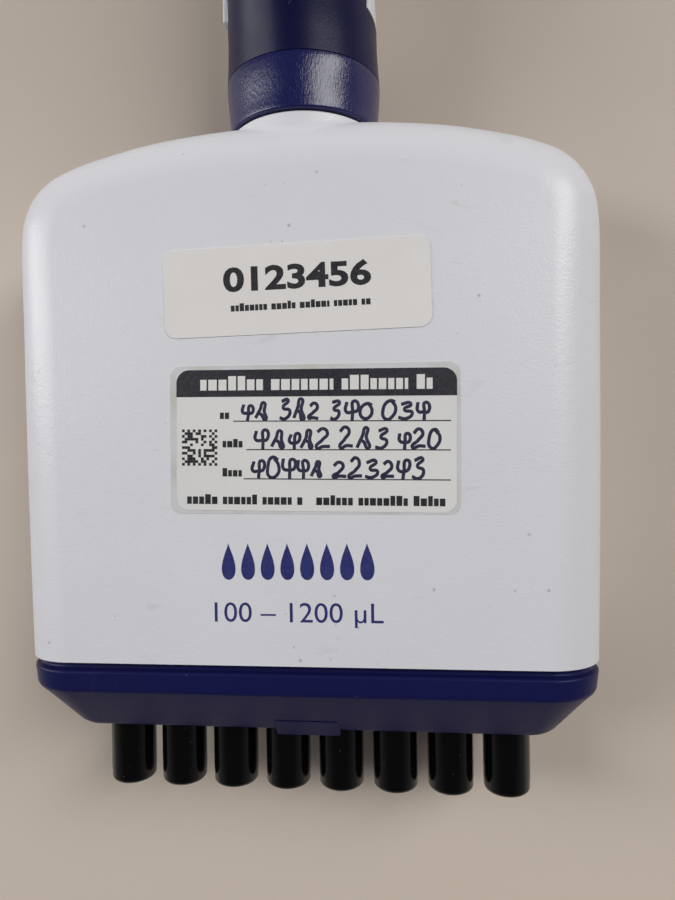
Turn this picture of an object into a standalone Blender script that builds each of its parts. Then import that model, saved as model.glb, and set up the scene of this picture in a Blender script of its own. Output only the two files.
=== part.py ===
"""Eight-channel hand pipette as an assembly of separate parts.

The tool is modelled upright in its own frame: X across the channels, Z up the tool's axis
from the nozzle ends, and -Y out of the front face. The empty tool_frame lays it on its back,
so that the middle of the rear face is the world's origin and the front faces up.
The handle is turned half round on its neck: its grip and finger hook are on the front side.
"""
import math

import bmesh
import bpy
from mathutils import Matrix, Vector

MM = 0.001
GAP = 0.3 * MM                      # between pieces that touch

# Channels
CHANNELS = 8
PITCH = 9.0 * MM                    # nozzle to nozzle
BORE_PITCH = 10.5 * MM              # piston to piston
NOZZLE_R = 3.73 * MM
NOZZLE_END_R = NOZZLE_R - 0.53 * MM
NOZZLE_CHAMFER = 1.2 * MM
NOZZLE_MOUTH_R = NOZZLE_R - 1.43 * MM
NOZZLE_MOUTH_DEPTH = 5.0 * MM
CHANNEL_R = 1.4 * MM
NOZZLE_FLANGE = 0.55 * MM           # how far the flange stands out of the nozzle
FLANGE_T = 1.2 * MM
PISTON_R = 4.4 * MM
PISTON_NECK_R = 2.2 * MM
STROKE = 22.0 * MM                  # aspirating stroke and blow-out
PISTON_OVERLAP = 1.2 * MM           # piston still in its bore at rest
BOTTOM_CLEARANCE = 0.5 * MM         # under a piston at the end of its stroke

# Manifold body
SEAM_Z = 23.9 * MM                  # lower edge of the two covers
BODY_HALF_X = 45.4 * MM
BODY_HALF_Y = 14.6 * MM
EDGE_R = 8.5 * MM                   # rounding of the front and rear edges
WALL = 1.8 * MM
SEAM_NARROWING = 0.9 * MM           # a cover is this much narrower at the seam
BACK_CENTRE_Z = 60.0 * MM           # point of the rear face that is the origin
CROWN_RISE = 13.5 * MM              # from the top of the carriage at rest to the crown
WIDEST_DROP = 30.5 * MM             # from the crown to the widest point

# Plates and block inside
PLATE_T = 2.6 * MM
FIT = 0.5 * MM                      # between an inner piece and the covers' wall
GASKET_T = 1.0 * MM
CHANNEL_RISE = 7.5 * MM             # height of the slanted channels
BLOCK_WALL = 1.2 * MM
SEAL_T = 1.8 * MM
RETAINER_T = 1.2 * MM
BAR_T = 5.5 * MM
BAR_HALF_Y = 4.0 * MM
HUB_R = 4.0 * MM
HUB_RISE = 5.5 * MM

# Cover screws
SCREW_R = 1.1 * MM
SCREW_HEAD_R = 2.4 * MM
SCREW_HEAD_T = 1.5 * MM
SCREW_SEAT_Y = 8.5 * MM
SCREW_TIP_Y = -10.4 * MM
BOSS_WALL = 0.7 * MM
UPPER_SCREW_X = 33.0 * MM
UPPER_SCREW_DROP = 8.3 * MM         # below the crown
LOWER_SCREW_RISE = 3.6 * MM         # above the block's lower face
LOWER_SCREW_CHANNELS = 3.0          # passes between the third and fourth channel from the middle

# Ejector
EJECT_TRAVEL = 8.0 * MM
SKIRT_WALL = 1.8 * MM
SKIRT_STEP_Z = SEAM_Z - 1.4 * MM    # top of its outer wall, below the recessed lip
SKIRT_LOW_Z = SEAM_Z - 12.4 * MM
SKIRT_INSET = 1.2 * MM              # recess of the lip
SKIRT_HALF_X = BODY_HALF_X - 0.9 * MM
SKIRT_HALF_Y = BODY_HALF_Y - 0.6 * MM
SKIRT_R = EDGE_R - 0.6 * MM         # corner radius at its widest
SKIRT_INNER_R = EDGE_R - 2.5 * MM
SKIRT_BEVEL_X = 7.3 * MM            # from the widest outline in to the bottom face
SKIRT_BEVEL_Y = 7.1 * MM
NOZZLE_PLAY = 0.4 * MM              # skirt hole round a nozzle
TAB_HALF_X = 5.2 * MM
TAB_DROP = 1.1 * MM
TAB_T = 2.2 * MM
TAB_EASE = 0.5 * MM
EJECT_ROD_R = 1.5 * MM
POST_Z = SEAM_Z - 6.4 * MM          # foot of a rod post, inside the skirt's bevel
POST_FLOOR = 1.2 * MM
POST_WALL = 1.0 * MM
EJECT_ROD_X = 18.0 * MM
EJECT_ROD_Y = BODY_HALF_Y - 5.4 * MM
EJECT_SPRING_R = 2.3 * MM           # to the middle of the wire
EJECT_WIRE_R = 0.25 * MM
EJECT_TURNS = 6
YOKE_BAR_DROP = 16.5 * MM           # from the crown to the foot of the yoke's bar
YOKE_BAR_T = 4.0 * MM
YOKE_BAR_MARGIN_X = 3.0 * MM        # past a rod's axis
YOKE_BAR_MARGIN_Y = 2.2 * MM
YOKE_WEB_HALF_X = 3.0 * MM
YOKE_RING_DROP = 4.5 * MM
YOKE_RING_T = 3.0 * MM
YOKE_RING_LIP = 0.4 * MM            # the ring is this much wider than the sleeve
SLEEVE_R = 8.0 * MM
SLEEVE_BORE_R = 5.5 * MM
SLEEVE_RISE = 22.5 * MM             # from the crown to its top

# Neck and collar
NECK_R = 12.0 * MM
NECK_FLANGE = 0.5 * MM
NECK_FLANGE_T = 2.0 * MM
NECK_FOOT_DROP = 9.5 * MM           # from the crown to the foot of its flange
NECK_PLAY = 0.8 * MM                # round the sleeve, below the shoulder
COLLAR_RISE = 0.6 * MM              # from the crown to the collar
COLLAR_H = 8.4 * MM
COLLAR_EASE = 0.4 * MM
COLLAR_LOW_R = 12.2 * MM
COLLAR_R = 12.65 * MM
SPIGOT_R = 10.2 * MM
SPIGOT_LIP = 0.7 * MM
SPIGOT_LIP_T = 1.2 * MM

# Handle: height above the collar, half width, depth to the grip side, depth to the display side
HANDLE_SHAPE = (
    (GAP, COLLAR_R, COLLAR_R, COLLAR_R),
    (5.5 * MM, 12.3 * MM, 14.0 * MM, 12.6 * MM),
    (10.5 * MM, 12.25 * MM, 16.0 * MM, 13.0 * MM),
    (19.5 * MM, 11.9 * MM, 18.0 * MM, 13.0 * MM),
    (34.5 * MM, 12.0 * MM, 18.5 * MM, 13.0 * MM),
    (54.5 * MM, 12.6 * MM, 17.0 * MM, 12.8 * MM),
    (74.5 * MM, 13.4 * MM, 15.5 * MM, 12.8 * MM),
    (94.5 * MM, 14.0 * MM, 15.0 * MM, 13.8 * MM),
    (112.5 * MM, 14.0 * MM, 14.5 * MM, 14.2 * MM),
)
HANDLE_WALL = 2.0 * MM
HANDLE_BORE_X = 9.8 * MM            # half width of the handle's hollow
PARTING_Y = -6.5 * MM               # grip in front of it, shell behind it
GRIP_RING_H = 9.0 * MM              # full ring at the grip's foot
HANDLE_SIDES = 20

# Ejector arm, in a straight channel on the handle's -X side
ARM_FLOOR_X = 11.4 * MM
ARM_T = 1.0 * MM
ARM_HALF_Y = 3.9 * MM
ARM_RISE = 10.5 * MM                # from the collar's top to its foot
ARM_H = 106.0 * MM
ARM_FOOT_T = 3.0 * MM
ARM_FOOT_HALF_Y = 2.0 * MM
THUMB_HALF_Y = 6.5 * MM
THUMB_T = 5.0 * MM
THUMB_H = 14.0 * MM
THUMB_DROP = 10.0 * MM              # from the arm's top to the button's lower end
THUMB_EASE = 1.2 * MM

# Cap, knob and lock lever
CAP_T = 4.7 * MM
CAP_INSET = 1.5 * MM
LEVER_T = 2.2 * MM
LEVER_RING_R = 9.5 * MM
LEVER_REACH = 17.0 * MM
LEVER_HALF_Y = 3.0 * MM
KNOB_R = 10.5 * MM
KNOB_H = 9.0 * MM
KNOB_FLUTES = 18
KNOB_FLUTE_DEPTH = 0.6 * MM

# Plunger and volume counter
ROD_R = 3.0 * MM
ROD_FLANGE_R = 7.0 * MM
ROD_FLANGE_T = 2.0 * MM
ROD_FLANGE_RISE = 54.5 * MM         # from the collar's top
BUTTON_R = 9.0 * MM
BUTTON_H = 7.6 * MM
BUTTON_SOCKET = 4.0 * MM
INSERT_R = 6.0 * MM
INSERT_T = 0.9 * MM
SEAT_RISE = 15.5 * MM
SEAT_T = 2.0 * MM
SPRING_R = 5.6 * MM
SPRING_WIRE_R = 0.5 * MM
SPRING_TURNS = 7
SPINDLE_WALL = 1.5 * MM
SPINDLE_RISE = 91.0 * MM
DRUMS = 3
DRUM_R = 9.3 * MM
DRUM_BORE_R = 6.9 * MM
DRUM_H = 6.0 * MM
DRUM_RISE = 62.5 * MM
COUNTER_SLEEVE_WALL = 1.2 * MM
COUNTER_OVERHANG = 2.0 * MM
WINDOW_HALF_X = 4.5 * MM
WINDOW_T = 1.5 * MM
WINDOW_MARGIN = 1.0 * MM

# Finger hook
HOOK_HALF_X = 8.0 * MM
HOOK_RISE = 105.5 * MM              # from the collar's top to its upper face
HOOK_T = 5.0 * MM
HOOK_REACH = 38.0 * MM              # from the axis to its outermost point
HOOK_DROP = 17.0 * MM               # from its top to its tip
HOOK_BEND = 9.0 * MM
HOOK_EASE = 0.8 * MM

# Heights that follow from the sizes above
PLATE_Z = SEAM_Z + GAP
FLANGE_Z = PLATE_Z + PLATE_T + GAP
GASKET_Z = FLANGE_Z + FLANGE_T + GAP
BLOCK_Z = GASKET_Z + GASKET_T + GAP
BORE_Z = BLOCK_Z + CHANNEL_RISE
PISTON_Z = BORE_Z + BOTTOM_CLEARANCE + STROKE
BLOCK_TOP_Z = PISTON_Z + PISTON_OVERLAP
SEAL_Z = BLOCK_TOP_Z + GAP
RETAINER_Z = SEAL_Z + SEAL_T + GAP
RETAINER_TOP_Z = RETAINER_Z + RETAINER_T
BAR_Z = RETAINER_TOP_Z + STROKE + BOTTOM_CLEARANCE + GAP
BAR_TOP_Z = BAR_Z + BAR_T
HUB_TOP_Z = BAR_TOP_Z + HUB_RISE
CROWN_Z = BAR_TOP_Z + CROWN_RISE
WIDEST_Z = CROWN_Z - WIDEST_DROP
YOKE_BAR_Z = CROWN_Z - YOKE_BAR_DROP
YOKE_RING_Z = CROWN_Z - YOKE_RING_DROP
NECK_FOOT_Z = CROWN_Z - NECK_FOOT_DROP
SLEEVE_TOP_Z = CROWN_Z + SLEEVE_RISE
COLLAR_Z = CROWN_Z + COLLAR_RISE
COLLAR_TOP_Z = COLLAR_Z + COLLAR_H
HANDLE_SECTIONS = [(COLLAR_TOP_Z + rise, *sizes) for rise, *sizes in HANDLE_SHAPE]
HANDLE_TOP_Z = HANDLE_SECTIONS[-1][0]
GRIP_RING_Z = COLLAR_TOP_Z + GRIP_RING_H
ARM_LOW_Z = COLLAR_TOP_Z + ARM_RISE
ARM_TOP_Z = ARM_LOW_Z + ARM_H
THUMB_LOW_Z = ARM_TOP_Z - THUMB_DROP
THUMB_TOP_Z = THUMB_LOW_Z + THUMB_H
SEAT_Z = COLLAR_TOP_Z + SEAT_RISE
ROD_FLANGE_Z = COLLAR_TOP_Z + ROD_FLANGE_RISE
DRUM_Z = COLLAR_TOP_Z + DRUM_RISE
SPINDLE_Z = COLLAR_TOP_Z + SPINDLE_RISE
HOOK_TOP_Z = COLLAR_TOP_Z + HOOK_RISE
CAP_Z = HANDLE_TOP_Z + GAP
LEVER_Z = CAP_Z + CAP_T + GAP
KNOB_Z = LEVER_Z + LEVER_T + GAP
BUTTON_Z = KNOB_Z + KNOB_H + STROKE + BOTTOM_CLEARANCE
BOSS_R = SCREW_HEAD_R + GAP + BOSS_WALL
BORE_R = PISTON_R + GAP
BLOCK_HALF_X = BORE_PITCH * (CHANNELS - 1) / 2 + BORE_R + BLOCK_WALL - GAP
BLOCK_HALF_Y = BORE_R + BLOCK_WALL - GAP
SPINDLE_BORE_R = ROD_R + GAP
SPINDLE_R = SPINDLE_BORE_R + SPINDLE_WALL

FINISHES = {                        # colour, roughness, metallic
    "white": ((0.78, 0.81, 0.86), 0.45, 0.0),
    "navy": ((0.025, 0.035, 0.14), 0.50, 0.0),
    "black": ((0.008, 0.008, 0.010), 0.15, 0.0),
    "grey": ((0.30, 0.31, 0.33), 0.50, 0.0),
    "clear": ((0.75, 0.80, 0.82), 0.08, 0.0),
    "rubber": ((0.04, 0.04, 0.045), 0.80, 0.0),
    "steel": ((0.58, 0.58, 0.60), 0.25, 1.0),
    "digit_white": ((0.85, 0.85, 0.84), 0.50, 0.0),
}


def channel_places(pitch):
    """X of each channel, from -X to +X."""
    return [(i - (CHANNELS - 1) / 2) * pitch for i in range(CHANNELS)]


# ---------------------------------------------------------------- scene and placing

def clear_scene():
    for old in list(bpy.data.objects):
        bpy.data.objects.remove(old, do_unlink=True)


def new_collection(name):
    collection = bpy.data.collections.new(name)
    bpy.context.scene.collection.children.link(collection)
    return collection


def new_empty(name, parent=None, at=(0, 0, 0)):
    """An empty that carries one moving body, at a point on its joint's axis."""
    empty = bpy.data.objects.new(name, None)
    empty.empty_display_size = 10 * MM
    empty.parent = parent
    empty.location = at
    GUIDES.objects.link(empty)
    return empty


def new_finish(name, kind):
    colour, roughness, metallic = FINISHES[kind]
    material = bpy.data.materials.new(name)
    material.use_nodes = True
    shader = material.node_tree.nodes["Principled BSDF"]
    shader.inputs["Base Color"].default_value = (*colour, 1.0)
    shader.inputs["Roughness"].default_value = roughness
    shader.inputs["Metallic"].default_value = metallic
    return material


def add_part(name, mesh, kind, body, at=(0, 0, 0)):
    """One named sub-part on a body, with its own material."""
    part = bpy.data.objects.new(name, mesh)
    mesh.name = name
    mesh.materials.clear()
    mesh.materials.append(new_finish(name, kind))
    part.parent = body
    part.location = Vector(at) - body_origin(body)
    PARTS.objects.link(part)
    return part


def body_origin(body):
    """A body's place in the tool frame."""
    place = Vector((0, 0, 0))
    while body is not None and body is not TOOL:
        place += body.location
        body = body.parent
    return place


def add_guide(name, mesh, body):
    """A hidden solid that cuts, joins or limits a part on the same body."""
    guide = bpy.data.objects.new(name, mesh)
    guide.parent = body
    guide.location = -body_origin(body)
    guide.display_type = 'WIRE'
    guide.hide_render = True
    GUIDES.objects.link(guide)
    return guide


def combine(part, operation, mesh, label):
    """Boolean of a part with a mesh given in the tool frame."""
    guide = add_guide(f"{part.name}_{label}", mesh, part.parent)
    step = part.modifiers.new(label, 'BOOLEAN')
    step.operation = operation
    step.solver = 'EXACT'
    step.object = guide
    return guide


def smooth(part, angle=35.0):
    part.data.shade_smooth()
    part.data.set_sharp_from_angle(angle=math.radians(angle))


# ---------------------------------------------------------------- meshes, in the tool frame

def mesh_from(work, name="shape"):
    mesh = bpy.data.meshes.new(name)
    bmesh.ops.recalc_face_normals(work, faces=work.faces)
    work.to_mesh(mesh)
    work.free()
    return mesh


def box(low, high, bevel=0.0):
    """A box between two corners, with all its edges rounded if bevel is set."""
    low, high = Vector(low), Vector(high)
    work = bmesh.new()
    bmesh.ops.create_cube(work, size=1.0)
    bmesh.ops.scale(work, vec=high - low, verts=work.verts)
    bmesh.ops.translate(work, vec=(low + high) / 2, verts=work.verts)
    if bevel:
        bmesh.ops.bevel(work, geom=work.edges, offset=bevel, segments=1, affect='EDGES')
    return mesh_from(work)


def rod(radius, low, high, sides=12):
    """A round bar from one point to another."""
    low, high = Vector(low), Vector(high)
    along = high - low
    turn = Vector((0, 0, 1)).rotation_difference(along).to_matrix().to_4x4()
    work = bmesh.new()
    bmesh.ops.create_cone(work, cap_ends=True, segments=sides, radius1=radius, radius2=radius,
                          depth=along.length,
                          matrix=Matrix.Translation((low + high) / 2) @ turn)
    return mesh_from(work)


def many(meshes):
    """Separate solids in one mesh, for one Boolean."""
    work = bmesh.new()
    for mesh in meshes:
        work.from_mesh(mesh)
        bpy.data.meshes.remove(mesh)
    return mesh_from(work)


def loft(rings, closed=False):
    """Skin through rings of equal point counts: capped at both ends, or closed into a tube."""
    work = bmesh.new()
    loops = [[work.verts.new(point) for point in ring] for ring in rings]
    pairs = list(zip(loops, loops[1:]))
    if closed:
        pairs.append((loops[-1], loops[0]))
    else:
        work.faces.new(loops[0])
        work.faces.new(loops[-1])
    for low, high in pairs:
        for i in range(len(low)):
            j = (i + 1) % len(low)
            work.faces.new((low[i], low[j], high[j], high[i]))
    bmesh.ops.triangulate(work, faces=work.faces)
    return mesh_from(work)


def outline_solid(outline, half_t, bevel=0.0, smooth_points=False):
    """A flat outline as a 2D curve in XY, thickened both ways along Z, as a closed mesh."""
    curve = bpy.data.curves.new("outline", 'CURVE')
    curve.dimensions = '2D'
    curve.fill_mode = 'BOTH'
    curve.extrude = half_t
    curve.bevel_depth = bevel
    curve.bevel_resolution = 2
    curve.resolution_u = 3
    if smooth_points:
        spline = curve.splines.new('BEZIER')
        spline.bezier_points.add(len(outline) - 1)
        for knot, (x, y) in zip(spline.bezier_points, outline):
            knot.co = (x, y, 0)
            knot.handle_left_type = 'AUTO'
            knot.handle_right_type = 'AUTO'
    else:
        spline = curve.splines.new('POLY')
        spline.points.add(len(outline) - 1)
        for knot, (x, y) in zip(spline.points, outline):
            knot.co = (x, y, 0, 1)
    spline.use_cyclic_u = True
    shape = bpy.data.objects.new("outline", curve)
    GUIDES.objects.link(shape)
    bpy.context.view_layer.update()
    mesh = bpy.data.meshes.new_from_object(shape.evaluated_get(bpy.context.evaluated_depsgraph_get()))
    bpy.data.objects.remove(shape, do_unlink=True)
    work = bmesh.new()
    work.from_mesh(mesh)
    bpy.data.meshes.remove(mesh)
    bmesh.ops.remove_doubles(work, verts=work.verts, dist=0.001 * MM)
    return mesh_from(work)


def stand_up(mesh, middle):
    """Turns an XY outline into the XZ plane, its thickness along Y about middle."""
    mesh.transform(Matrix.Translation((0, middle, 0)) @ Matrix.Rotation(math.pi / 2, 4, 'X'))
    return mesh


def side_on(mesh):
    """Turns an outline drawn as (y, z) into the YZ plane, its thickness along X."""
    mesh.transform(Matrix.Rotation(math.pi / 2, 4, 'Z') @ Matrix.Rotation(math.pi / 2, 4, 'X'))
    return mesh


def laid_flat(mesh, low_z, high_z):
    """Keeps an outline in the XY plane, its thickness from low_z to high_z."""
    mesh.transform(Matrix.Translation((0, 0, (low_z + high_z) / 2)))
    return mesh


def rounded_outline(half_x, half_y, radius, steps=3):
    """A rectangle with round corners, as (x, y) points anticlockwise."""
    points = []
    for corner, (sx, sy) in enumerate(((1, 1), (-1, 1), (-1, -1), (1, -1))):
        for i in range(steps + 1):
            turn = math.pi / 2 * (corner + i / steps)
            points.append((sx * (half_x - radius) + radius * math.cos(turn),
                           sy * (half_y - radius) + radius * math.sin(turn)))
    return points


def rounded_plate(half_x, half_y, radius, low_z, high_z):
    flat = outline_solid(rounded_outline(half_x, half_y, radius), (high_z - low_z) / 2)
    return laid_flat(flat, low_z, high_z)


def ring_at(outline, z):
    return [Vector((x, y, z)) for x, y in outline]


def add_turned(name, profile, kind, body, at=(0, 0, 0), steps=16):
    """A turned part: (radius, z) points down its outer side, and back up its bore if it has one."""
    work = bmesh.new()
    knots = [work.verts.new((radius, 0, z)) for radius, z in profile]
    for low, high in zip(knots, knots[1:]):
        work.edges.new((low, high))
    if profile[0][0] > 0:
        work.edges.new((knots[-1], knots[0]))
    mesh = bpy.data.meshes.new(name)
    work.to_mesh(mesh)
    work.free()
    part = add_part(name, mesh, kind, body, at)
    screw = part.modifiers.new("turn", 'SCREW')
    screw.steps = steps
    screw.render_steps = steps
    screw.use_merge_vertices = True
    screw.merge_threshold = 0.00001
    screw.use_smooth_shade = True
    return part


def add_coil(name, coil_r, wire_r, turns, low_z, high_z, kind, body, at=(0, 0, 0)):
    """A compression spring with closed ends, on an axis along Z."""
    per_turn = 9
    steps = per_turn * turns
    foot = low_z + wire_r
    rise = high_z - low_z - 2 * wire_r
    curve = bpy.data.curves.new(name, 'CURVE')
    curve.dimensions = '3D'
    curve.bevel_depth = wire_r
    curve.bevel_resolution = 1
    curve.use_fill_caps = True
    spline = curve.splines.new('POLY')
    spline.points.add(steps)
    for i, knot in enumerate(spline.points):
        turn = 2 * math.pi * i / per_turn
        knot.co = (coil_r * math.cos(turn), coil_r * math.sin(turn), foot + rise * i / steps, 1)
    part = bpy.data.objects.new(name, curve)
    curve.materials.append(new_finish(name, kind))
    part.parent = body
    part.location = Vector(at) - body_origin(body)
    PARTS.objects.link(part)
    return part


# ---------------------------------------------------------------- manifold

CROWN_SHAPE = (                     # share of the half width, and drop below the crown
    (0.477, 0.8 * MM),
    (0.783, 2.86 * MM),
    (0.932, 4.55 * MM),
    (0.966, 5.22 * MM),
    (0.991, 6.42 * MM),
    (1.0, 7.9 * MM),
)


def body_core():
    """Outline of the covers without their rounded edge, as (x, z)."""
    half_x = BODY_HALF_X - EDGE_R
    crown = CROWN_Z - EDGE_R
    right = [(half_x - 1.5 * SEAM_NARROWING, SEAM_Z - 1.5 * EDGE_R)]
    right.append((half_x - SEAM_NARROWING, SEAM_Z))
    right.append((half_x, WIDEST_Z))
    right += [(half_x * share, crown - drop) for share, drop in reversed(CROWN_SHAPE)]
    left = [(-x, z) for x, z in reversed(right)]
    return right + [(0, crown)] + left


def pillow(edge_r):
    """The manifold's body as one solid, with edges of the given radius round its core."""
    flat = outline_solid(body_core(), BODY_HALF_Y - EDGE_R, bevel=edge_r, smooth_points=True)
    return stand_up(flat, 0)


def screw_places():
    """Each cover screw: x, z and the half thickness of what its bosses clamp."""
    upper_z = CROWN_Z - UPPER_SCREW_DROP
    lower_z = BLOCK_Z + LOWER_SCREW_RISE
    share = LOWER_SCREW_RISE / CHANNEL_RISE
    lower_x = LOWER_SCREW_CHANNELS * (PITCH + (BORE_PITCH - PITCH) * share)
    places = []
    for side in (-1, 1):
        places.append((side * UPPER_SCREW_X, upper_z, GAP / 2))
        places.append((side * lower_x, lower_z, BLOCK_HALF_Y + GAP))
    return places


def make_cover(name, side):
    """One half shell; side is -1 for the front and 1 for the rear."""
    cover = add_part(name, pillow(EDGE_R), "white", TOOL)
    far = 2 * BODY_HALF_X
    ends = sorted((side * GAP / 2, side * far))
    half = box((-far, ends[0], SEAM_Z), (far, ends[1], far + CROWN_Z))
    combine(cover, 'INTERSECT', half, "half")
    hollow = combine(cover, 'DIFFERENCE', pillow(EDGE_R - WALL), "hollow")
    bosses = []
    holes = []
    for x, z, clamped in screw_places():
        bosses.append(rod(BOSS_R, (x, side * clamped, z), (x, side * 2 * BODY_HALF_Y, z)))
        hole_end = 2 * BODY_HALF_Y if side > 0 else SCREW_TIP_Y - GAP
        holes.append(rod(SCREW_R + GAP, (x, 0, z), (x, hole_end, z)))
    combine(hollow, 'DIFFERENCE', many(bosses), "bosses")
    neck_hole = rod(NECK_R + GAP, (0, 0, NECK_FOOT_Z + NECK_FLANGE_T + GAP), (0, 0, 2 * CROWN_Z), 24)
    combine(cover, 'DIFFERENCE', neck_hole, "neck_hole")
    combine(cover, 'DIFFERENCE', many(holes), "screw_holes")
    if side > 0:
        seats = [rod(SCREW_HEAD_R + GAP, (x, SCREW_SEAT_Y, z), (x, 2 * BODY_HALF_Y, z))
                 for x, z, clamped in screw_places()]
        combine(cover, 'DIFFERENCE', many(seats), "screw_seats")
    smooth(cover)


def make_screws():
    """Pan-head screws with a cross-shaped drive, driven in from the rear."""
    head_y = SCREW_SEAT_Y + GAP
    for i, (x, z, clamped) in enumerate(screw_places()):
        shank = rod(SCREW_R, (x, SCREW_TIP_Y, z), (x, head_y + SCREW_HEAD_T / 2, z), sides=10)
        screw = add_part(f"cover_screw_{i + 1}", shank, "steel", TOOL)
        head = rod(SCREW_HEAD_R, (x, head_y, z), (x, head_y + SCREW_HEAD_T, z), sides=12)
        combine(screw, 'UNION', head, "head")
        drive_y = head_y + 0.5 * SCREW_HEAD_T
        long, short = 0.6 * SCREW_HEAD_R, 0.15 * SCREW_HEAD_R
        slots = [box((x - a, drive_y, z - b), (x + a, 2 * BODY_HALF_Y, z + b))
                 for a, b in ((long, short), (short, long))]
        for slot, label in zip(slots, ("slot_across", "slot_along")):
            combine(screw, 'DIFFERENCE', slot, label)


def make_neck():
    """White spigot that the handle turns on, held in the covers by its foot flange."""
    wide_bore = SLEEVE_R + NECK_PLAY
    shoulder = COLLAR_Z - GAP
    lip_z = COLLAR_TOP_Z + GAP
    flange_top = NECK_FOOT_Z + NECK_FLANGE_T
    add_turned("neck_tube", [
        (SPIGOT_R + SPIGOT_LIP, lip_z + SPIGOT_LIP_T),
        (SPIGOT_R + SPIGOT_LIP, lip_z),
        (SPIGOT_R, lip_z),
        (SPIGOT_R, shoulder),
        (NECK_R, shoulder),
        (NECK_R, flange_top),
        (NECK_R + NECK_FLANGE, flange_top),
        (NECK_R + NECK_FLANGE, NECK_FOOT_Z),
        (wide_bore, NECK_FOOT_Z),
        (wide_bore, shoulder),
        (SLEEVE_R + GAP, shoulder),
        (SLEEVE_R + GAP, lip_z + SPIGOT_LIP_T),
    ], "white", TOOL, steps=24)


def rod_holes(low_z, high_z):
    """Cutters for the two ejector rods through a plate."""
    return [rod(EJECT_ROD_R + GAP, (side * EJECT_ROD_X, EJECT_ROD_Y, low_z),
                (side * EJECT_ROD_X, EJECT_ROD_Y, high_z)) for side in (-1, 1)]


def make_nozzle_plate():
    """Closes the covers' lower end; nozzles and ejector rods pass through it."""
    half_x = BODY_HALF_X - SEAM_NARROWING - WALL - FIT
    half_y = BODY_HALF_Y - WALL - FIT
    radius = EDGE_R - WALL - FIT
    top = PLATE_Z + PLATE_T
    plate = add_part("nozzle_plate", rounded_plate(half_x, half_y, radius, PLATE_Z, top), "navy", TOOL)
    cuts = [rod(NOZZLE_R + GAP, (x, 0, PLATE_Z - FIT), (x, 0, top + FIT)) for x in channel_places(PITCH)]
    cuts += rod_holes(PLATE_Z - FIT, top + FIT)
    combine(plate, 'DIFFERENCE', many(cuts), "holes")


def make_nozzles():
    top = FLANGE_Z + FLANGE_T
    for i, x in enumerate(channel_places(PITCH)):
        add_turned(f"nozzle_{i + 1}", [
            (NOZZLE_R + NOZZLE_FLANGE, top),
            (NOZZLE_R + NOZZLE_FLANGE, FLANGE_Z),
            (NOZZLE_R, FLANGE_Z),
            (NOZZLE_R, NOZZLE_CHAMFER),
            (NOZZLE_END_R, 0),
            (NOZZLE_MOUTH_R, 0),
            (CHANNEL_R, NOZZLE_MOUTH_DEPTH),
            (CHANNEL_R, top),
        ], "black", TOOL, at=(x, 0, 0), steps=12)


def make_gasket():
    half_x = PITCH * (CHANNELS - 1) / 2 + NOZZLE_R + NOZZLE_FLANGE
    top = GASKET_Z + GASKET_T
    gasket = add_part("nozzle_gasket",
                      rounded_plate(half_x, NOZZLE_R + NOZZLE_FLANGE, NOZZLE_R, GASKET_Z, top),
                      "rubber", TOOL)
    cuts = [rod(CHANNEL_R, (x, 0, GASKET_Z - GAP), (x, 0, top + GAP), sides=10)
            for x in channel_places(PITCH)]
    combine(gasket, 'DIFFERENCE', many(cuts), "holes")


def make_cylinder_block():
    """Eight bores, joined to the nozzles by slanted channels, with two clamping screw holes."""
    block = add_part("cylinder_block",
                     box((-BLOCK_HALF_X, -BLOCK_HALF_Y, BLOCK_Z), (BLOCK_HALF_X, BLOCK_HALF_Y, BLOCK_TOP_Z)),
                     "grey", TOOL)
    bores = [rod(BORE_R, (x, 0, BORE_Z), (x, 0, BLOCK_TOP_Z + FIT)) for x in channel_places(BORE_PITCH)]
    combine(block, 'DIFFERENCE', many(bores), "bores")
    channels = []
    for low_x, high_x in zip(channel_places(PITCH), channel_places(BORE_PITCH)):
        low, high = Vector((low_x, 0, BLOCK_Z)), Vector((high_x, 0, BORE_Z))
        past = (high - low) * (CHANNEL_R / CHANNEL_RISE)
        channels.append(rod(CHANNEL_R, low - past, high + past, sides=10))
    combine(block, 'DIFFERENCE', many(channels), "channels")
    holes = [rod(SCREW_R + GAP, (x, -BLOCK_HALF_Y - FIT, z), (x, BLOCK_HALF_Y + FIT, z))
             for x, z, clamped in screw_places() if clamped > BLOCK_HALF_Y]
    combine(block, 'DIFFERENCE', many(holes), "screw_holes")


def make_seal_and_retainer():
    seal_top = SEAL_Z + SEAL_T
    seal = add_part("seal_strip",
                    rounded_plate(BLOCK_HALF_X, BLOCK_HALF_Y, BLOCK_WALL, SEAL_Z, seal_top),
                    "rubber", TOOL)
    cuts = [rod(BORE_R, (x, 0, SEAL_Z - FIT), (x, 0, seal_top + FIT)) for x in channel_places(BORE_PITCH)]
    combine(seal, 'DIFFERENCE', many(cuts), "holes")
    retainer = add_part("seal_retainer",
                        rounded_plate(BLOCK_HALF_X, BLOCK_HALF_Y, BLOCK_WALL, RETAINER_Z, RETAINER_TOP_Z),
                        "steel", TOOL)
    ear_half_x = EJECT_ROD_X + EJECT_SPRING_R + 2 * EJECT_WIRE_R + FIT
    ear_y = BODY_HALF_Y - WALL - FIT
    ears = box((-ear_half_x, 0, RETAINER_Z), (ear_half_x, ear_y, RETAINER_TOP_Z))
    combine(retainer, 'UNION', ears, "spring_seats")
    cuts = [rod(BORE_R, (x, 0, RETAINER_Z - FIT), (x, 0, RETAINER_TOP_Z + FIT))
            for x in channel_places(BORE_PITCH)]
    cuts += rod_holes(RETAINER_Z - FIT, RETAINER_TOP_Z + FIT)
    combine(retainer, 'DIFFERENCE', many(cuts), "holes")


# ---------------------------------------------------------------- piston carriage

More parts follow.
